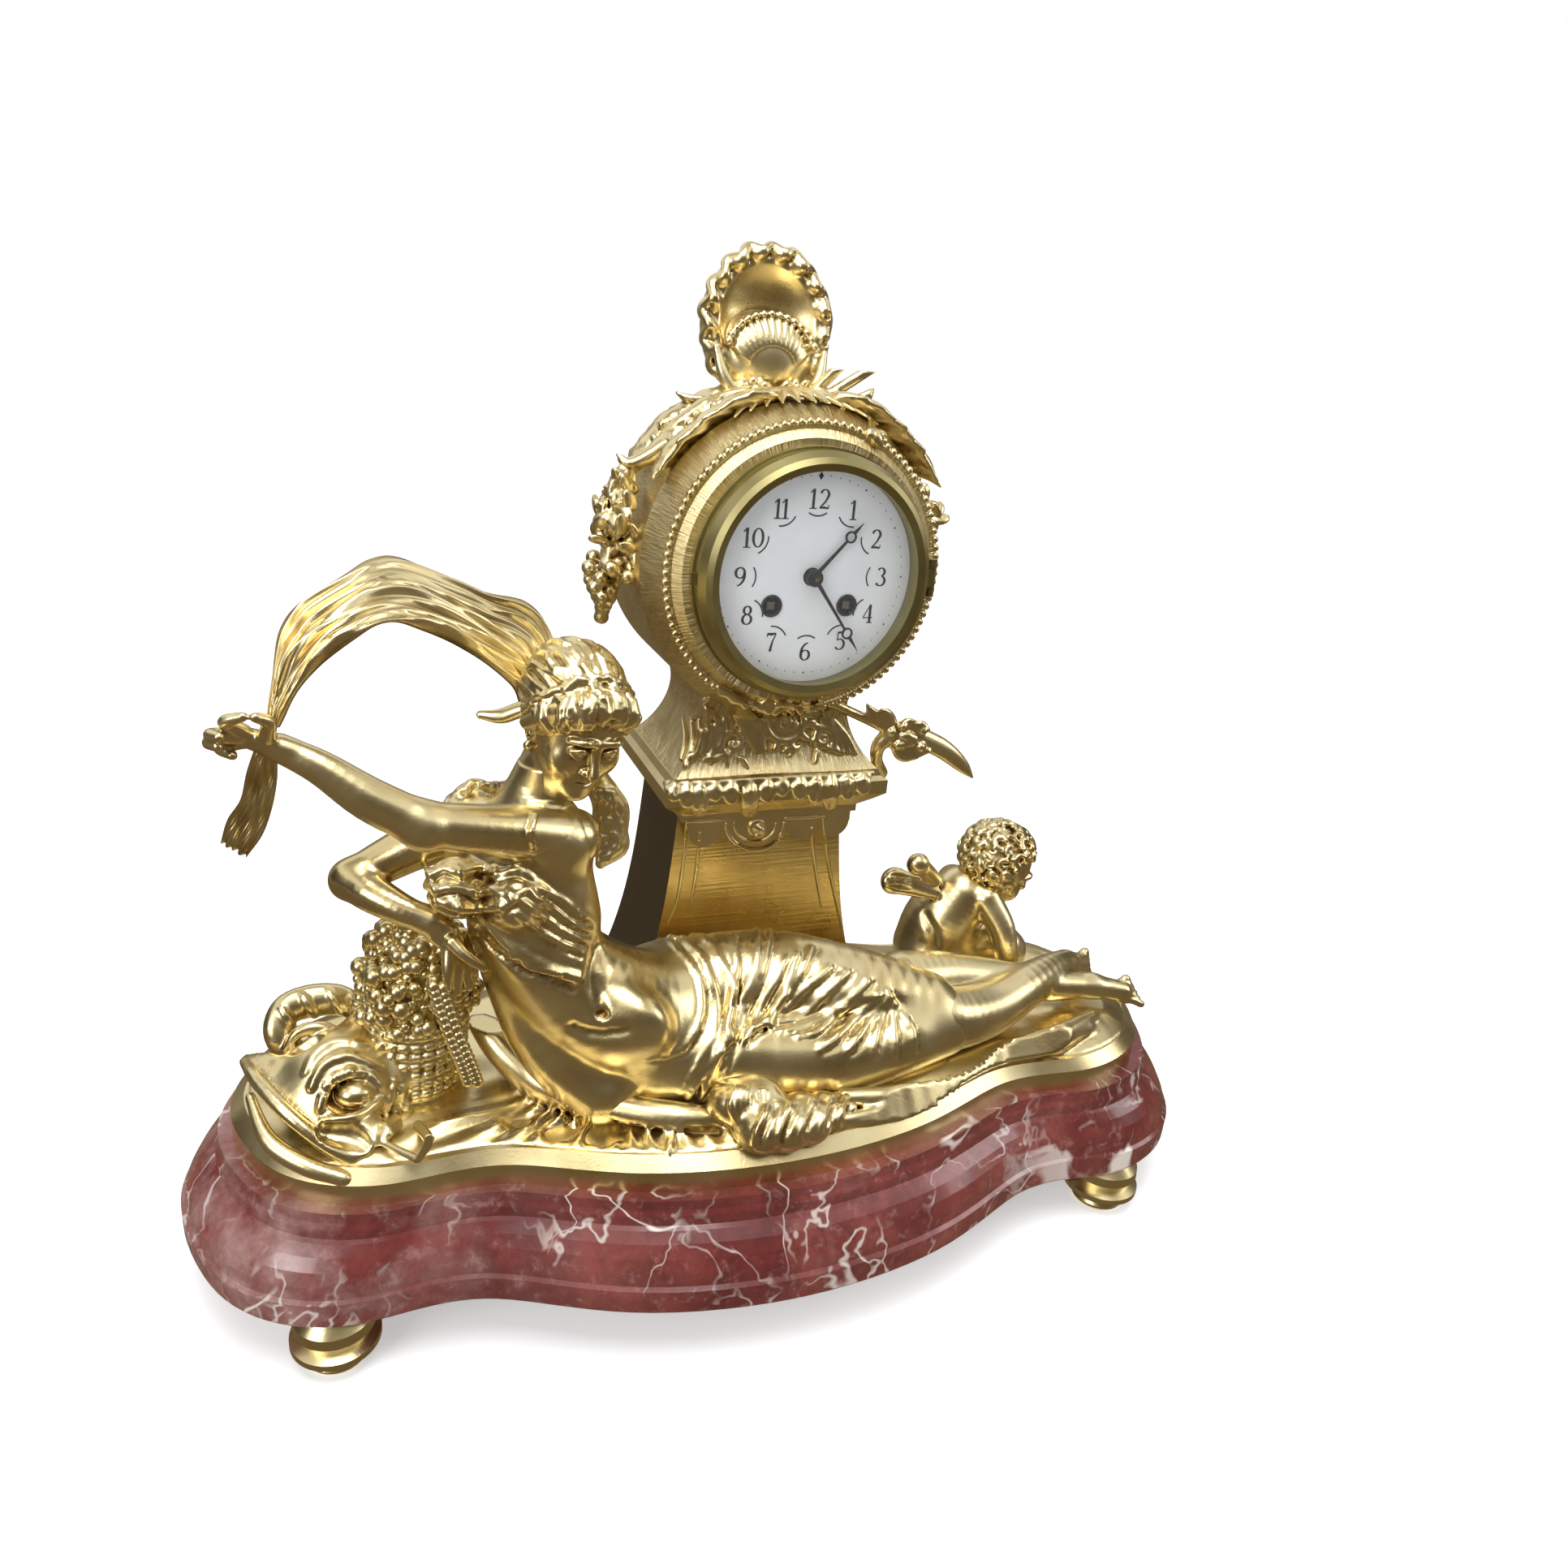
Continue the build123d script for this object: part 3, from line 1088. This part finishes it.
def mainspring(place):
    """The wound spring in a barrel, as one closed ring."""
    high = SPACE_TOP - BARREL_FRONT_GAP - BARREL_WALL - SPRING_GAP
    low = SPACE_TOP - BARREL_FRONT_GAP - BARREL_LENGTH + BARREL_WALL + SPRING_GAP
    outer = BARREL_RADIUS - BARREL_WALL - SPRING_GAP
    return DIAL_FRAME * tube(outer, outer - SPRING_WALL, low, high, place)


def winding_arbor(place):
    """A barrel arbor with its ratchet wheel and winding square."""
    ratchet_low = FRONT_PLATE_TOP + RATCHET_GAP
    shaft = rod(BARREL_ARBOR_RADIUS, BACK_PLATE_BACK, ratchet_low + RATCHET_THICKNESS, place)
    points = []
    for index in range(RATCHET_TEETH):
        angle = 360 * index / RATCHET_TEETH
        points.append(polar(RATCHET_RADIUS, angle))
        points.append(polar(RATCHET_RADIUS - RATCHET_DEPTH, angle + 360 / RATCHET_TEETH * RATCHET_LEAN_SHARE))
    wheel = extrude(make_face(Polyline(*points, close=True)), RATCHET_THICKNESS)
    shaft += Pos(place[0], place[1], ratchet_low) * wheel
    square = WINDING_SQUARE_TOP - ratchet_low
    shaft += Pos(place[0], place[1], ratchet_low + square / 2) * Box(WINDING_SQUARE, WINDING_SQUARE, square)
    return DIAL_FRAME * shaft


def click(place, side):
    """A click that lies just clear of its ratchet, on the front plate."""
    reach = RATCHET_RADIUS + SEAT_GAP + CLICK_WIDTH / 2
    bar = Pos(place[0] + side * reach, place[1] + CLICK_LENGTH / 2, FRONT_PLATE_TOP + RATCHET_THICKNESS / 2)
    return DIAL_FRAME * bar * Box(CLICK_WIDTH, CLICK_LENGTH, RATCHET_THICKNESS)


def level(height):
    """A height above the back plate's inner face."""
    return BACK_PLATE_TOP + height


def intermediate_wheel():
    """The wheel between the going barrel and the centre arbor."""
    barrel_low = SPACE_TOP - BARREL_FRONT_GAP - BARREL_LENGTH - GREAT_WHEEL_THICKNESS
    way = bearing(GOING, INTERMEDIATE)
    piece = arbor(INTERMEDIATE)
    piece += pinion(BARREL_PINION, BARREL_MODULE, way, barrel_low - PLAY, INTERMEDIATE)
    piece += crossed_gear(INTERMEDIATE_TEETH, INTERMEDIATE_MODULE, bearing(INTERMEDIATE, CENTRE),
                          level(INTERMEDIATE_LEVEL), ARBOR_RADIUS * 3, INTERMEDIATE)
    return DIAL_FRAME * piece


def centre_wheel():
    """The centre wheel, whose arbor carries the minute hand's cannon pinion by friction."""
    low = level(END_SHAKE)
    piece = rod(CENTRE_ARBOR_RADIUS, low, CENTRE_ARBOR_TOP)
    piece += rod(PIVOT_RADIUS, low - PIVOT_LENGTH, low + PIVOT_LENGTH)
    way = bearing(INTERMEDIATE, CENTRE)
    pinion_low = level(INTERMEDIATE_LEVEL) - (PINION_LENGTH - WHEEL_THICKNESS) / 4
    piece += pinion(CENTRE_PINION, INTERMEDIATE_MODULE, way, pinion_low)
    piece += crossed_gear(CENTRE_TEETH, TRAIN_MODULE, bearing(CENTRE, THIRD), level(CENTRE_LEVEL),
                          CENTRE_ARBOR_RADIUS * 2, CENTRE)
    return DIAL_FRAME * piece


def third_wheel():
    """The third wheel."""
    piece = arbor(THIRD)
    way = bearing(CENTRE, THIRD)
    piece += gear(THIRD_PINION, TRAIN_MODULE, mate(way, THIRD_PINION), level(CENTRE_LEVEL) - END_SHAKE,
                  level(CENTRE_LEVEL) + PINION_LENGTH / 2, THIRD)
    piece += crossed_gear(THIRD_TEETH, TRAIN_MODULE, bearing(THIRD, ESCAPE), level(THIRD_LEVEL),
                          ARBOR_RADIUS * 2, THIRD)
    return DIAL_FRAME * piece


def escape_wheel():
    """The pointed escape wheel with its pinion."""
    piece = arbor(ESCAPE)
    way = bearing(THIRD, ESCAPE)
    pinion_low = level(THIRD_LEVEL) - (PINION_LENGTH - WHEEL_THICKNESS) / 2
    piece += pinion(THIRD_PINION, TRAIN_MODULE, way, pinion_low, ESCAPE)
    points = []
    for index in range(ESCAPE_TEETH):
        angle = 90 + 360 * index / ESCAPE_TEETH
        half = 180 * ESCAPE_TOOTH_SHARE / ESCAPE_TEETH
        points.append(polar(ESCAPE_RADIUS - ESCAPE_TOOTH_DEPTH, angle - half))
        points.append(polar(ESCAPE_RADIUS, angle))
        points.append(polar(ESCAPE_RADIUS - ESCAPE_TOOTH_DEPTH, angle + half))
    face = make_face(Polyline(*points, close=True))
    rim = ESCAPE_RADIUS - ESCAPE_TOOTH_DEPTH - WHEEL_RIM
    windows = Circle(rim) - Circle(ARBOR_RADIUS * 2)
    windows -= Rectangle(SPOKE_WIDTH, 2 * rim + OVERRUN)
    windows -= Rectangle(2 * rim + OVERRUN, SPOKE_WIDTH)
    piece += Pos(0, ESCAPE_Y, level(ESCAPE_LEVEL)) * extrude(face - windows, WHEEL_THICKNESS)
    return DIAL_FRAME * piece


def anchor():
    """The anchor with two pallets, its arbor and the crutch behind the back plate."""
    low = CRUTCH_LEVEL - 2 * CRUTCH_RADIUS
    piece = rod(ARBOR_RADIUS, low, SPACE_TOP - END_SHAKE, ANCHOR)
    piece += rod(PIVOT_RADIUS, SPACE_TOP - END_SHAKE, SPACE_TOP - END_SHAKE + PIVOT_LENGTH, ANCHOR)
    half_span = 180 * ESCAPE_SPAN_SHARE
    points = []
    for side in (-1, 1):
        angle = 90 - side * half_span
        tip = ESCAPE_RADIUS + PALLET_GAP
        turn = degrees(PALLET_WIDTH / 2 / tip)
        edge = [polar(tip, angle - turn), polar(tip, angle + turn)]
        wide = degrees(ANCHOR_WIDTH / 2 / (tip + ANCHOR_WIDTH))
        root = [polar(tip + ANCHOR_WIDTH, angle + wide), polar(tip + ANCHOR_WIDTH, angle - wide)]
        blade = make_face(Polyline(*edge, *root, close=True))
        mid = polar(tip + ANCHOR_WIDTH * ANCHOR_ROOT_SHARE, angle)
        way = Vector(0, ANCHOR_REACH) - Vector(*mid)
        arm = Pos((mid[0]) / 2, (mid[1] + ANCHOR_REACH) / 2) * Rot(0, 0, degrees(atan2(way.Y, way.X)))
        points.append(blade + arm * Rectangle(way.length + ANCHOR_WIDTH, ANCHOR_WIDTH))
    plate = extrude(points[0] + points[1], WHEEL_THICKNESS)
    piece += Pos(0, ESCAPE_Y, level(ESCAPE_LEVEL)) * plate
    foot_y = ANCHOR[1] - CRUTCH_LENGTH
    wire = Rot(90, 0, 0) * Cylinder(CRUTCH_RADIUS, CRUTCH_LENGTH)
    piece += Pos(0, (ANCHOR[1] + foot_y) / 2, CRUTCH_LEVEL) * wire
    reach = CRUTCH_LEVEL - PENDULUM_LEVEL + ROD_RADIUS
    spread = ROD_RADIUS + FORK_GAP + CRUTCH_RADIUS
    bar = Box(2 * spread + 2 * CRUTCH_RADIUS, CRUTCH_RADIUS * 3, CRUTCH_RADIUS * 3)
    piece += Pos(0, foot_y, CRUTCH_LEVEL) * bar
    prong = Box(CRUTCH_RADIUS, CRUTCH_RADIUS * 2, reach)
    for side in (-1, 1):
        piece += Pos(side * spread, foot_y, CRUTCH_LEVEL - reach / 2) * prong
    return DIAL_FRAME * piece


def pendulum():
    """The pendulum: hook, rod, lens-shaped bob and rating nut."""
    bob_y = -PENDULUM_LENGTH
    hang = RATING_NUT_HEIGHT + BOB_RADIUS + PENDULUM_LENGTH
    piece = Pos(0, -hang / 2) * Rot(90, 0, 0) * Cylinder(ROD_RADIUS, hang)
    piece += Pos(0, -HOOK_HEIGHT / 2) * Box(HOOK_WIDTH, HOOK_HEIGHT, ROD_RADIUS * 2)
    lens = turned([
        (0, -BOB_THICKNESS / 2), (BOB_RADIUS * BOB_FLAT_SHARE, -BOB_THICKNESS / 2), (BOB_RADIUS, 0),
        (BOB_RADIUS * BOB_FLAT_SHARE, BOB_THICKNESS / 2), (0, BOB_THICKNESS / 2),
    ])
    piece += Pos(0, bob_y) * lens
    piece += Pos(0, bob_y - BOB_RADIUS - RATING_NUT_HEIGHT / 2) * Rot(90, 0, 0) * Cylinder(
        RATING_NUT_RADIUS, RATING_NUT_HEIGHT
    )
    return DIAL_FRAME * Pos(ANCHOR[0], ANCHOR[1], PENDULUM_LEVEL) * piece


def suspension_cock():
    """The cock on the back plate with the suspension spring's strip."""
    depth = BACK_PLATE_BACK - PENDULUM_LEVEL + HOOK_HEIGHT
    base = ANCHOR[1] + COCK_LIFT
    piece = Pos(0, base + COCK_HEIGHT / 2, BACK_PLATE_BACK - depth / 2) * Box(COCK_WIDTH, COCK_HEIGHT, depth)
    strip = COCK_LIFT - SEAT_GAP
    piece += Pos(0, base - strip / 2, PENDULUM_LEVEL) * Box(SPRING_STRIP_WIDTH, strip, SPRING_STRIP_THICKNESS)
    return DIAL_FRAME * piece


def motion_top():
    """The height of the motion work's forward end, behind the dial plate."""
    return -DRUM_FRONT - MOTION_GAP


def cannon_level():
    """The height of the cannon pinion's back face."""
    return FRONT_PLATE_TOP + MOTION_GAP


def cannon_pinion():
    """The pipe that carries the minute hand, with its pinion."""
    low = cannon_level()
    piece = rod(CANNON_RADIUS, low, MINUTE_HAND_LEVEL)
    way = bearing(CENTRE, MINUTE_ARBOR)
    piece += gear(CANNON_TEETH, CANNON_MODULE, way, low, low + PINION_LENGTH)
    return DIAL_FRAME * (piece - rod(CENTRE_ARBOR_RADIUS + PLAY, low - OVERRUN, CENTRE_ARBOR_TOP + OVERRUN))


def minute_wheel():
    """The minute wheel and its pinion on their stud."""
    low = cannon_level() + MOTION_GAP
    way = bearing(CENTRE, MINUTE_ARBOR)
    tooth_at = mate(way, MINUTE_WHEEL_TEETH)
    piece = gear(MINUTE_WHEEL_TEETH, CANNON_MODULE, tooth_at, low, low + WHEEL_THICKNESS, MINUTE_ARBOR)
    piece += gear(MINUTE_PINION, hour_module(), way + 180, low, motion_top() - PLAY, MINUTE_ARBOR)
    return DIAL_FRAME * (piece - rod(STUD_POST_RADIUS + PLAY, low - OVERRUN, OVERRUN, MINUTE_ARBOR))


def hour_module():
    """The module that lets the hour wheel share the minute wheel's centre distance."""
    return CANNON_MODULE * (CANNON_TEETH + MINUTE_WHEEL_TEETH) / (MINUTE_PINION + HOUR_WHEEL_TEETH)


def hour_wheel():
    """The hour wheel and its pipe over the cannon pinion."""
    low = cannon_level() + PINION_LENGTH + MOTION_GAP
    way = bearing(CENTRE, MINUTE_ARBOR)
    piece = gear(HOUR_WHEEL_TEETH, hour_module(), way + 180 / HOUR_WHEEL_TEETH, low, low + WHEEL_THICKNESS)
    piece += rod(HOUR_PIPE_RADIUS, low, HOUR_HAND_LEVEL)
    return DIAL_FRAME * (piece - rod(CANNON_RADIUS + PLAY, low - OVERRUN, MINUTE_HAND_LEVEL + OVERRUN))


def hand(length, angle, height, bore):
    """A slender hand with an open ring near its tip, pointing a given angle clockwise from twelve."""
    moon = length * MOON_SHARE
    face = Circle(HAND_BOSS_RADIUS)
    face += make_face(Polyline(
        (-HAND_WIDTH / 2, 0), (HAND_WIDTH / 2, 0), (HAND_WIDTH / 4, moon), (-HAND_WIDTH / 4, moon), close=True
    ))
    shank = moon + MOON_RADIUS / 2
    face += make_face(Polyline((-HAND_WIDTH / 2, shank), (HAND_WIDTH / 2, shank), (0, length), close=True))
    face += Pos(0, moon) * Circle(MOON_RADIUS)
    face -= Pos(0, moon) * Circle(MOON_RADIUS - MOON_BAND)
    face -= Circle(bore)
    return DIAL_FRAME * Rot(0, 0, -angle) * Pos(0, 0, height) * extrude(face, HAND_THICKNESS)


def pin_wheel():
    """The strike train's pin wheel."""
    piece = arbor(PIN_WHEEL)
    wheel_low = SPACE_TOP - BARREL_FRONT_GAP
    way = bearing(STRIKE, PIN_WHEEL)
    piece += pinion(BARREL_PINION, BARREL_MODULE, way, wheel_low - PLAY, PIN_WHEEL)
    onward = bearing(PIN_WHEEL, LOCKING)
    piece += crossed_gear(PIN_WHEEL_TEETH, PIN_WHEEL_MODULE, onward, level(PIN_WHEEL_LEVEL),
                          ARBOR_RADIUS * 3, PIN_WHEEL)
    tail_way = bearing(PIN_WHEEL, HAMMER)
    for index in range(STRIKE_PIN_COUNT):
        angle = tail_way + 360 * (index + 1 / 2) / STRIKE_PIN_COUNT
        place = beyond(PIN_WHEEL, STRIKE_PIN_REACH, angle)
        high = level(PIN_WHEEL_LEVEL) + WHEEL_THICKNESS + STRIKE_PIN_LENGTH
        piece += rod(STRIKE_PIN_RADIUS, level(PIN_WHEEL_LEVEL) + PLAY, high, place)
    return DIAL_FRAME * piece


def locking_wheel():
    """The locking wheel."""
    piece = arbor(LOCKING)
    way = bearing(PIN_WHEEL, LOCKING)
    pinion_low = level(PIN_WHEEL_LEVEL) - (PINION_LENGTH - WHEEL_THICKNESS) / 2
    piece += pinion(LOCKING_PINION, PIN_WHEEL_MODULE, way, pinion_low, LOCKING)
    piece += crossed_gear(LOCKING_TEETH, LOCKING_MODULE, bearing(LOCKING, FLY), level(LOCKING_LEVEL),
                          ARBOR_RADIUS * 2, LOCKING)
    return DIAL_FRAME * piece


def fly():
    """The two-vaned fly."""
    piece = arbor(FLY)
    way = bearing(LOCKING, FLY)
    pinion_low = level(LOCKING_LEVEL) - (PINION_LENGTH - WHEEL_THICKNESS) / 2
    piece += pinion(FLY_PINION, LOCKING_MODULE, way, pinion_low, FLY)
    vanes = Box(2 * FLY_RADIUS, FLY_THICKNESS, FLY_LENGTH)
    piece += Pos(FLY[0], FLY[1], level(FLY_LEVEL) + FLY_LENGTH / 2) * vanes
    return DIAL_FRAME * piece


def hammer():
    """The hammer: arbor, tail between the plates, arm and head behind the back plate."""
    piece = rod(ARBOR_RADIUS, HAMMER_LEVEL - HAMMER_ARM_RADIUS, SPACE_TOP - END_SHAKE, HAMMER)
    piece += rod(PIVOT_RADIUS, SPACE_TOP - END_SHAKE, SPACE_TOP - END_SHAKE + PIVOT_LENGTH, HAMMER)
    tail_level = level(PIN_WHEEL_LEVEL) + WHEEL_THICKNESS + STRIKE_PIN_LENGTH / 2
    tail = beyond(HAMMER, TAIL_LENGTH, bearing(HAMMER, PIN_WHEEL))
    tail_radii = (STRIKE_PIN_RADIUS, STRIKE_PIN_RADIUS * JOINT_SWELL_SHARE)
    piece += limb([(*HAMMER, tail_level), (*tail, tail_level)], tail_radii)
    head = (HAMMER_HEAD_X, HAMMER_HEAD_Y)
    arm_radii = (HAMMER_ARM_RADIUS, HAMMER_ARM_RADIUS * JOINT_SWELL_SHARE)
    piece += limb([(*HAMMER, HAMMER_LEVEL), (*head, HAMMER_LEVEL)], arm_radii)
    half = HAMMER_HEAD_LENGTH / 2
    piece += rod(HAMMER_HEAD_RADIUS, HAMMER_LEVEL - half, HAMMER_LEVEL + half, head)
    return DIAL_FRAME * piece


def bell():
    """The cup bell, its mouth towards the movement."""
    crown = BELL_MOUTH - BELL_DEPTH
    neck_radius = BELL_RADIUS * BELL_CROWN_SHARE
    cup = turned([
        (BELL_RADIUS, BELL_MOUTH), (BELL_RADIUS - BELL_WALL, BELL_MOUTH),
        (neck_radius - BELL_WALL, crown + BELL_WALL),
        (BELL_POST_RADIUS + PLAY, crown + BELL_WALL), (BELL_POST_RADIUS + PLAY, crown), (neck_radius, crown),
    ])
    return DIAL_FRAME * Pos(BELL_X, BELL_Y) * cup


def bell_stand():
    """The post that carries the bell, with a shoulder under the crown and a nut behind it."""
    crown = BELL_MOUTH - BELL_DEPTH
    place = (BELL_X, BELL_Y)
    piece = rod(BELL_POST_RADIUS, crown - BELL_WALL, BACK_PLATE_BACK, place)
    piece += rod(BELL_POST_RADIUS * 2, crown + BELL_WALL, crown + 2 * BELL_WALL, place)
    piece += rod(BELL_POST_RADIUS * 2, crown - BELL_WALL, crown, place)
    return DIAL_FRAME * piece


def base_parts():
    """Plinth, feet, terrace and fastenings."""
    save("marble_plinth", plinth())
    save("bun_feet", *[foot(place) for place in four_places(FOOT_X_SHARE, FOOT_Y_SHARE)])
    save("foot_studs", *[foot_stud(place) for place in four_places(FOOT_X_SHARE, FOOT_Y_SHARE)])
    save("terrace", terrace())
    save("terrace_bolts", *[terrace_bolt(place) for place in four_places(BOLT_X_SHARE, BOLT_Y_SHARE)])


def case_parts():
    """Pedestal, cornice, neck, drum and their ornaments."""
    case = drum_envelope()
    throat = neck(case)
    save("pedestal", pedestal())
    save("cornice", cornice())
    save("cornice_apron", apron())
    save("drum_neck", throat)
    save("drum_case", drum())
    save("shell_crest", crest(case))
    save("crest_leaves", *crest_leaves())
    save("fruit_swags", *swags())
    save("reed_spray", spray(throat, case))


def figure_parts():
    """Nymph, scarf, dolphin, creel, shells and putto."""
    body = nymph_body()
    legs = nymph_limb(NEAR_LEG_SHARES, LEG_RADIUS_SHARES)
    far_leg = nymph_limb(FAR_LEG_SHARES, LEG_RADIUS_SHARES)
    near = cut_by(above_ground(legs), [body])
    far = cut_by(above_ground(far_leg), [body, near])
    head = nymph_limb((NECK_BASE_SHARES, HEAD_SHARES), NECK_RADIUS_SHARES)
    head += Pos(*nymph_place(HEAD_SHARES)) * Sphere(NYMPH_HEAD * HEAD_RADIUS_SHARE)
    head += Pos(*nymph_place(BUN_SHARES)) * Sphere(NYMPH_HEAD * BUN_RADIUS_SHARE)
    head = cut_by(head, [body])
    raised = cut_by(nymph_limb(RAISED_ARM_SHARES, ARM_RADIUS_SHARES), [body, head])
    resting = cut_by(nymph_limb(RESTING_ARM_SHARES, ARM_RADIUS_SHARES), [body, raised])
    vessel = creel([body, resting])
    fish = cut_by(terrace_limb(DOLPHIN_SHARES, DOLPHIN_RADIUS_SHARES, DOLPHIN_SIZE), [vessel, resting])
    save("nymph_body", body)
    save("nymph_legs", near, far)
    save("nymph_head", head)
    save("nymph_raised_arm", raised)
    save("nymph_resting_arm", resting)
    save("scarf", scarf([body, head, raised, resting]))
    save("pearl_creel", vessel)
    save("dolphin", fish)
    save("front_shell", front_shell([body]))
    child = putto_body([body, near, far, pedestal()])
    throat_and_head = (PUTTO_ARM_RADIUS_SHARES[0], PUTTO_HEAD_RADIUS_SHARE)
    ball = putto_limb((PUTTO_CHEST_SHARES, PUTTO_HEAD_SHARES), throat_and_head)
    save("putto_body", child)
    save("putto_head", cut_by(ball, [child]))


def dial_parts():
    """Dial, plate, bezel, glass, rear ring and rear door."""
    save("dial", dial())
    save("dial_plate", dial_plate())
    save("front_bezel", front_bezel())
    save("dial_glass", dial_glass())
    save("rear_ring", rear_ring())
    save("rear_door", rear_door())


def movement_parts():
    """Plates, trains, escapement, pendulum and bell."""
    save("front_plate", front_plate())
    save("back_plate", back_plate())
    save("plate_pillars", *[pillar(angle) for angle in PILLAR_ANGLES])
    save("movement_straps", *[strap(angle) for angle in STRAP_ANGLES])
    save("strap_screws", *[strap_screw(angle) for angle in STRAP_ANGLES])
    save("going_barrel", barrel(GOING, True, bearing(GOING, INTERMEDIATE)))
    save("strike_barrel", barrel(STRIKE, False, bearing(STRIKE, PIN_WHEEL)))
    save("mainsprings", mainspring(GOING), mainspring(STRIKE))
    save("going_arbor", winding_arbor(GOING))
    save("strike_arbor", winding_arbor(STRIKE))
    save("clicks", click(GOING, 1), click(STRIKE, -1))
    save("intermediate_wheel", intermediate_wheel())
    save("centre_wheel", centre_wheel())
    save("third_wheel", third_wheel())
    save("escape_wheel", escape_wheel())
    save("anchor", anchor())
    save("pendulum", pendulum())
    save("suspension_cock", suspension_cock())
    save("cannon_pinion", cannon_pinion())
    save("minute_wheel", minute_wheel())
    save("hour_wheel", hour_wheel())
    save("minute_hand", hand(MINUTE_LENGTH, MINUTE_ANGLE, MINUTE_HAND_LEVEL, CENTRE_ARBOR_RADIUS + PLAY))
    save("hour_hand", hand(HOUR_LENGTH, HOUR_ANGLE, HOUR_HAND_LEVEL, CANNON_RADIUS + PLAY))
    save("pin_wheel", pin_wheel())
    save("locking_wheel", locking_wheel())
    save("fly", fly())
    save("hammer", hammer())
    save("bell", bell())
    save("bell_stand", bell_stand())


base_parts()
case_parts()
figure_parts()
dial_parts()
movement_parts()
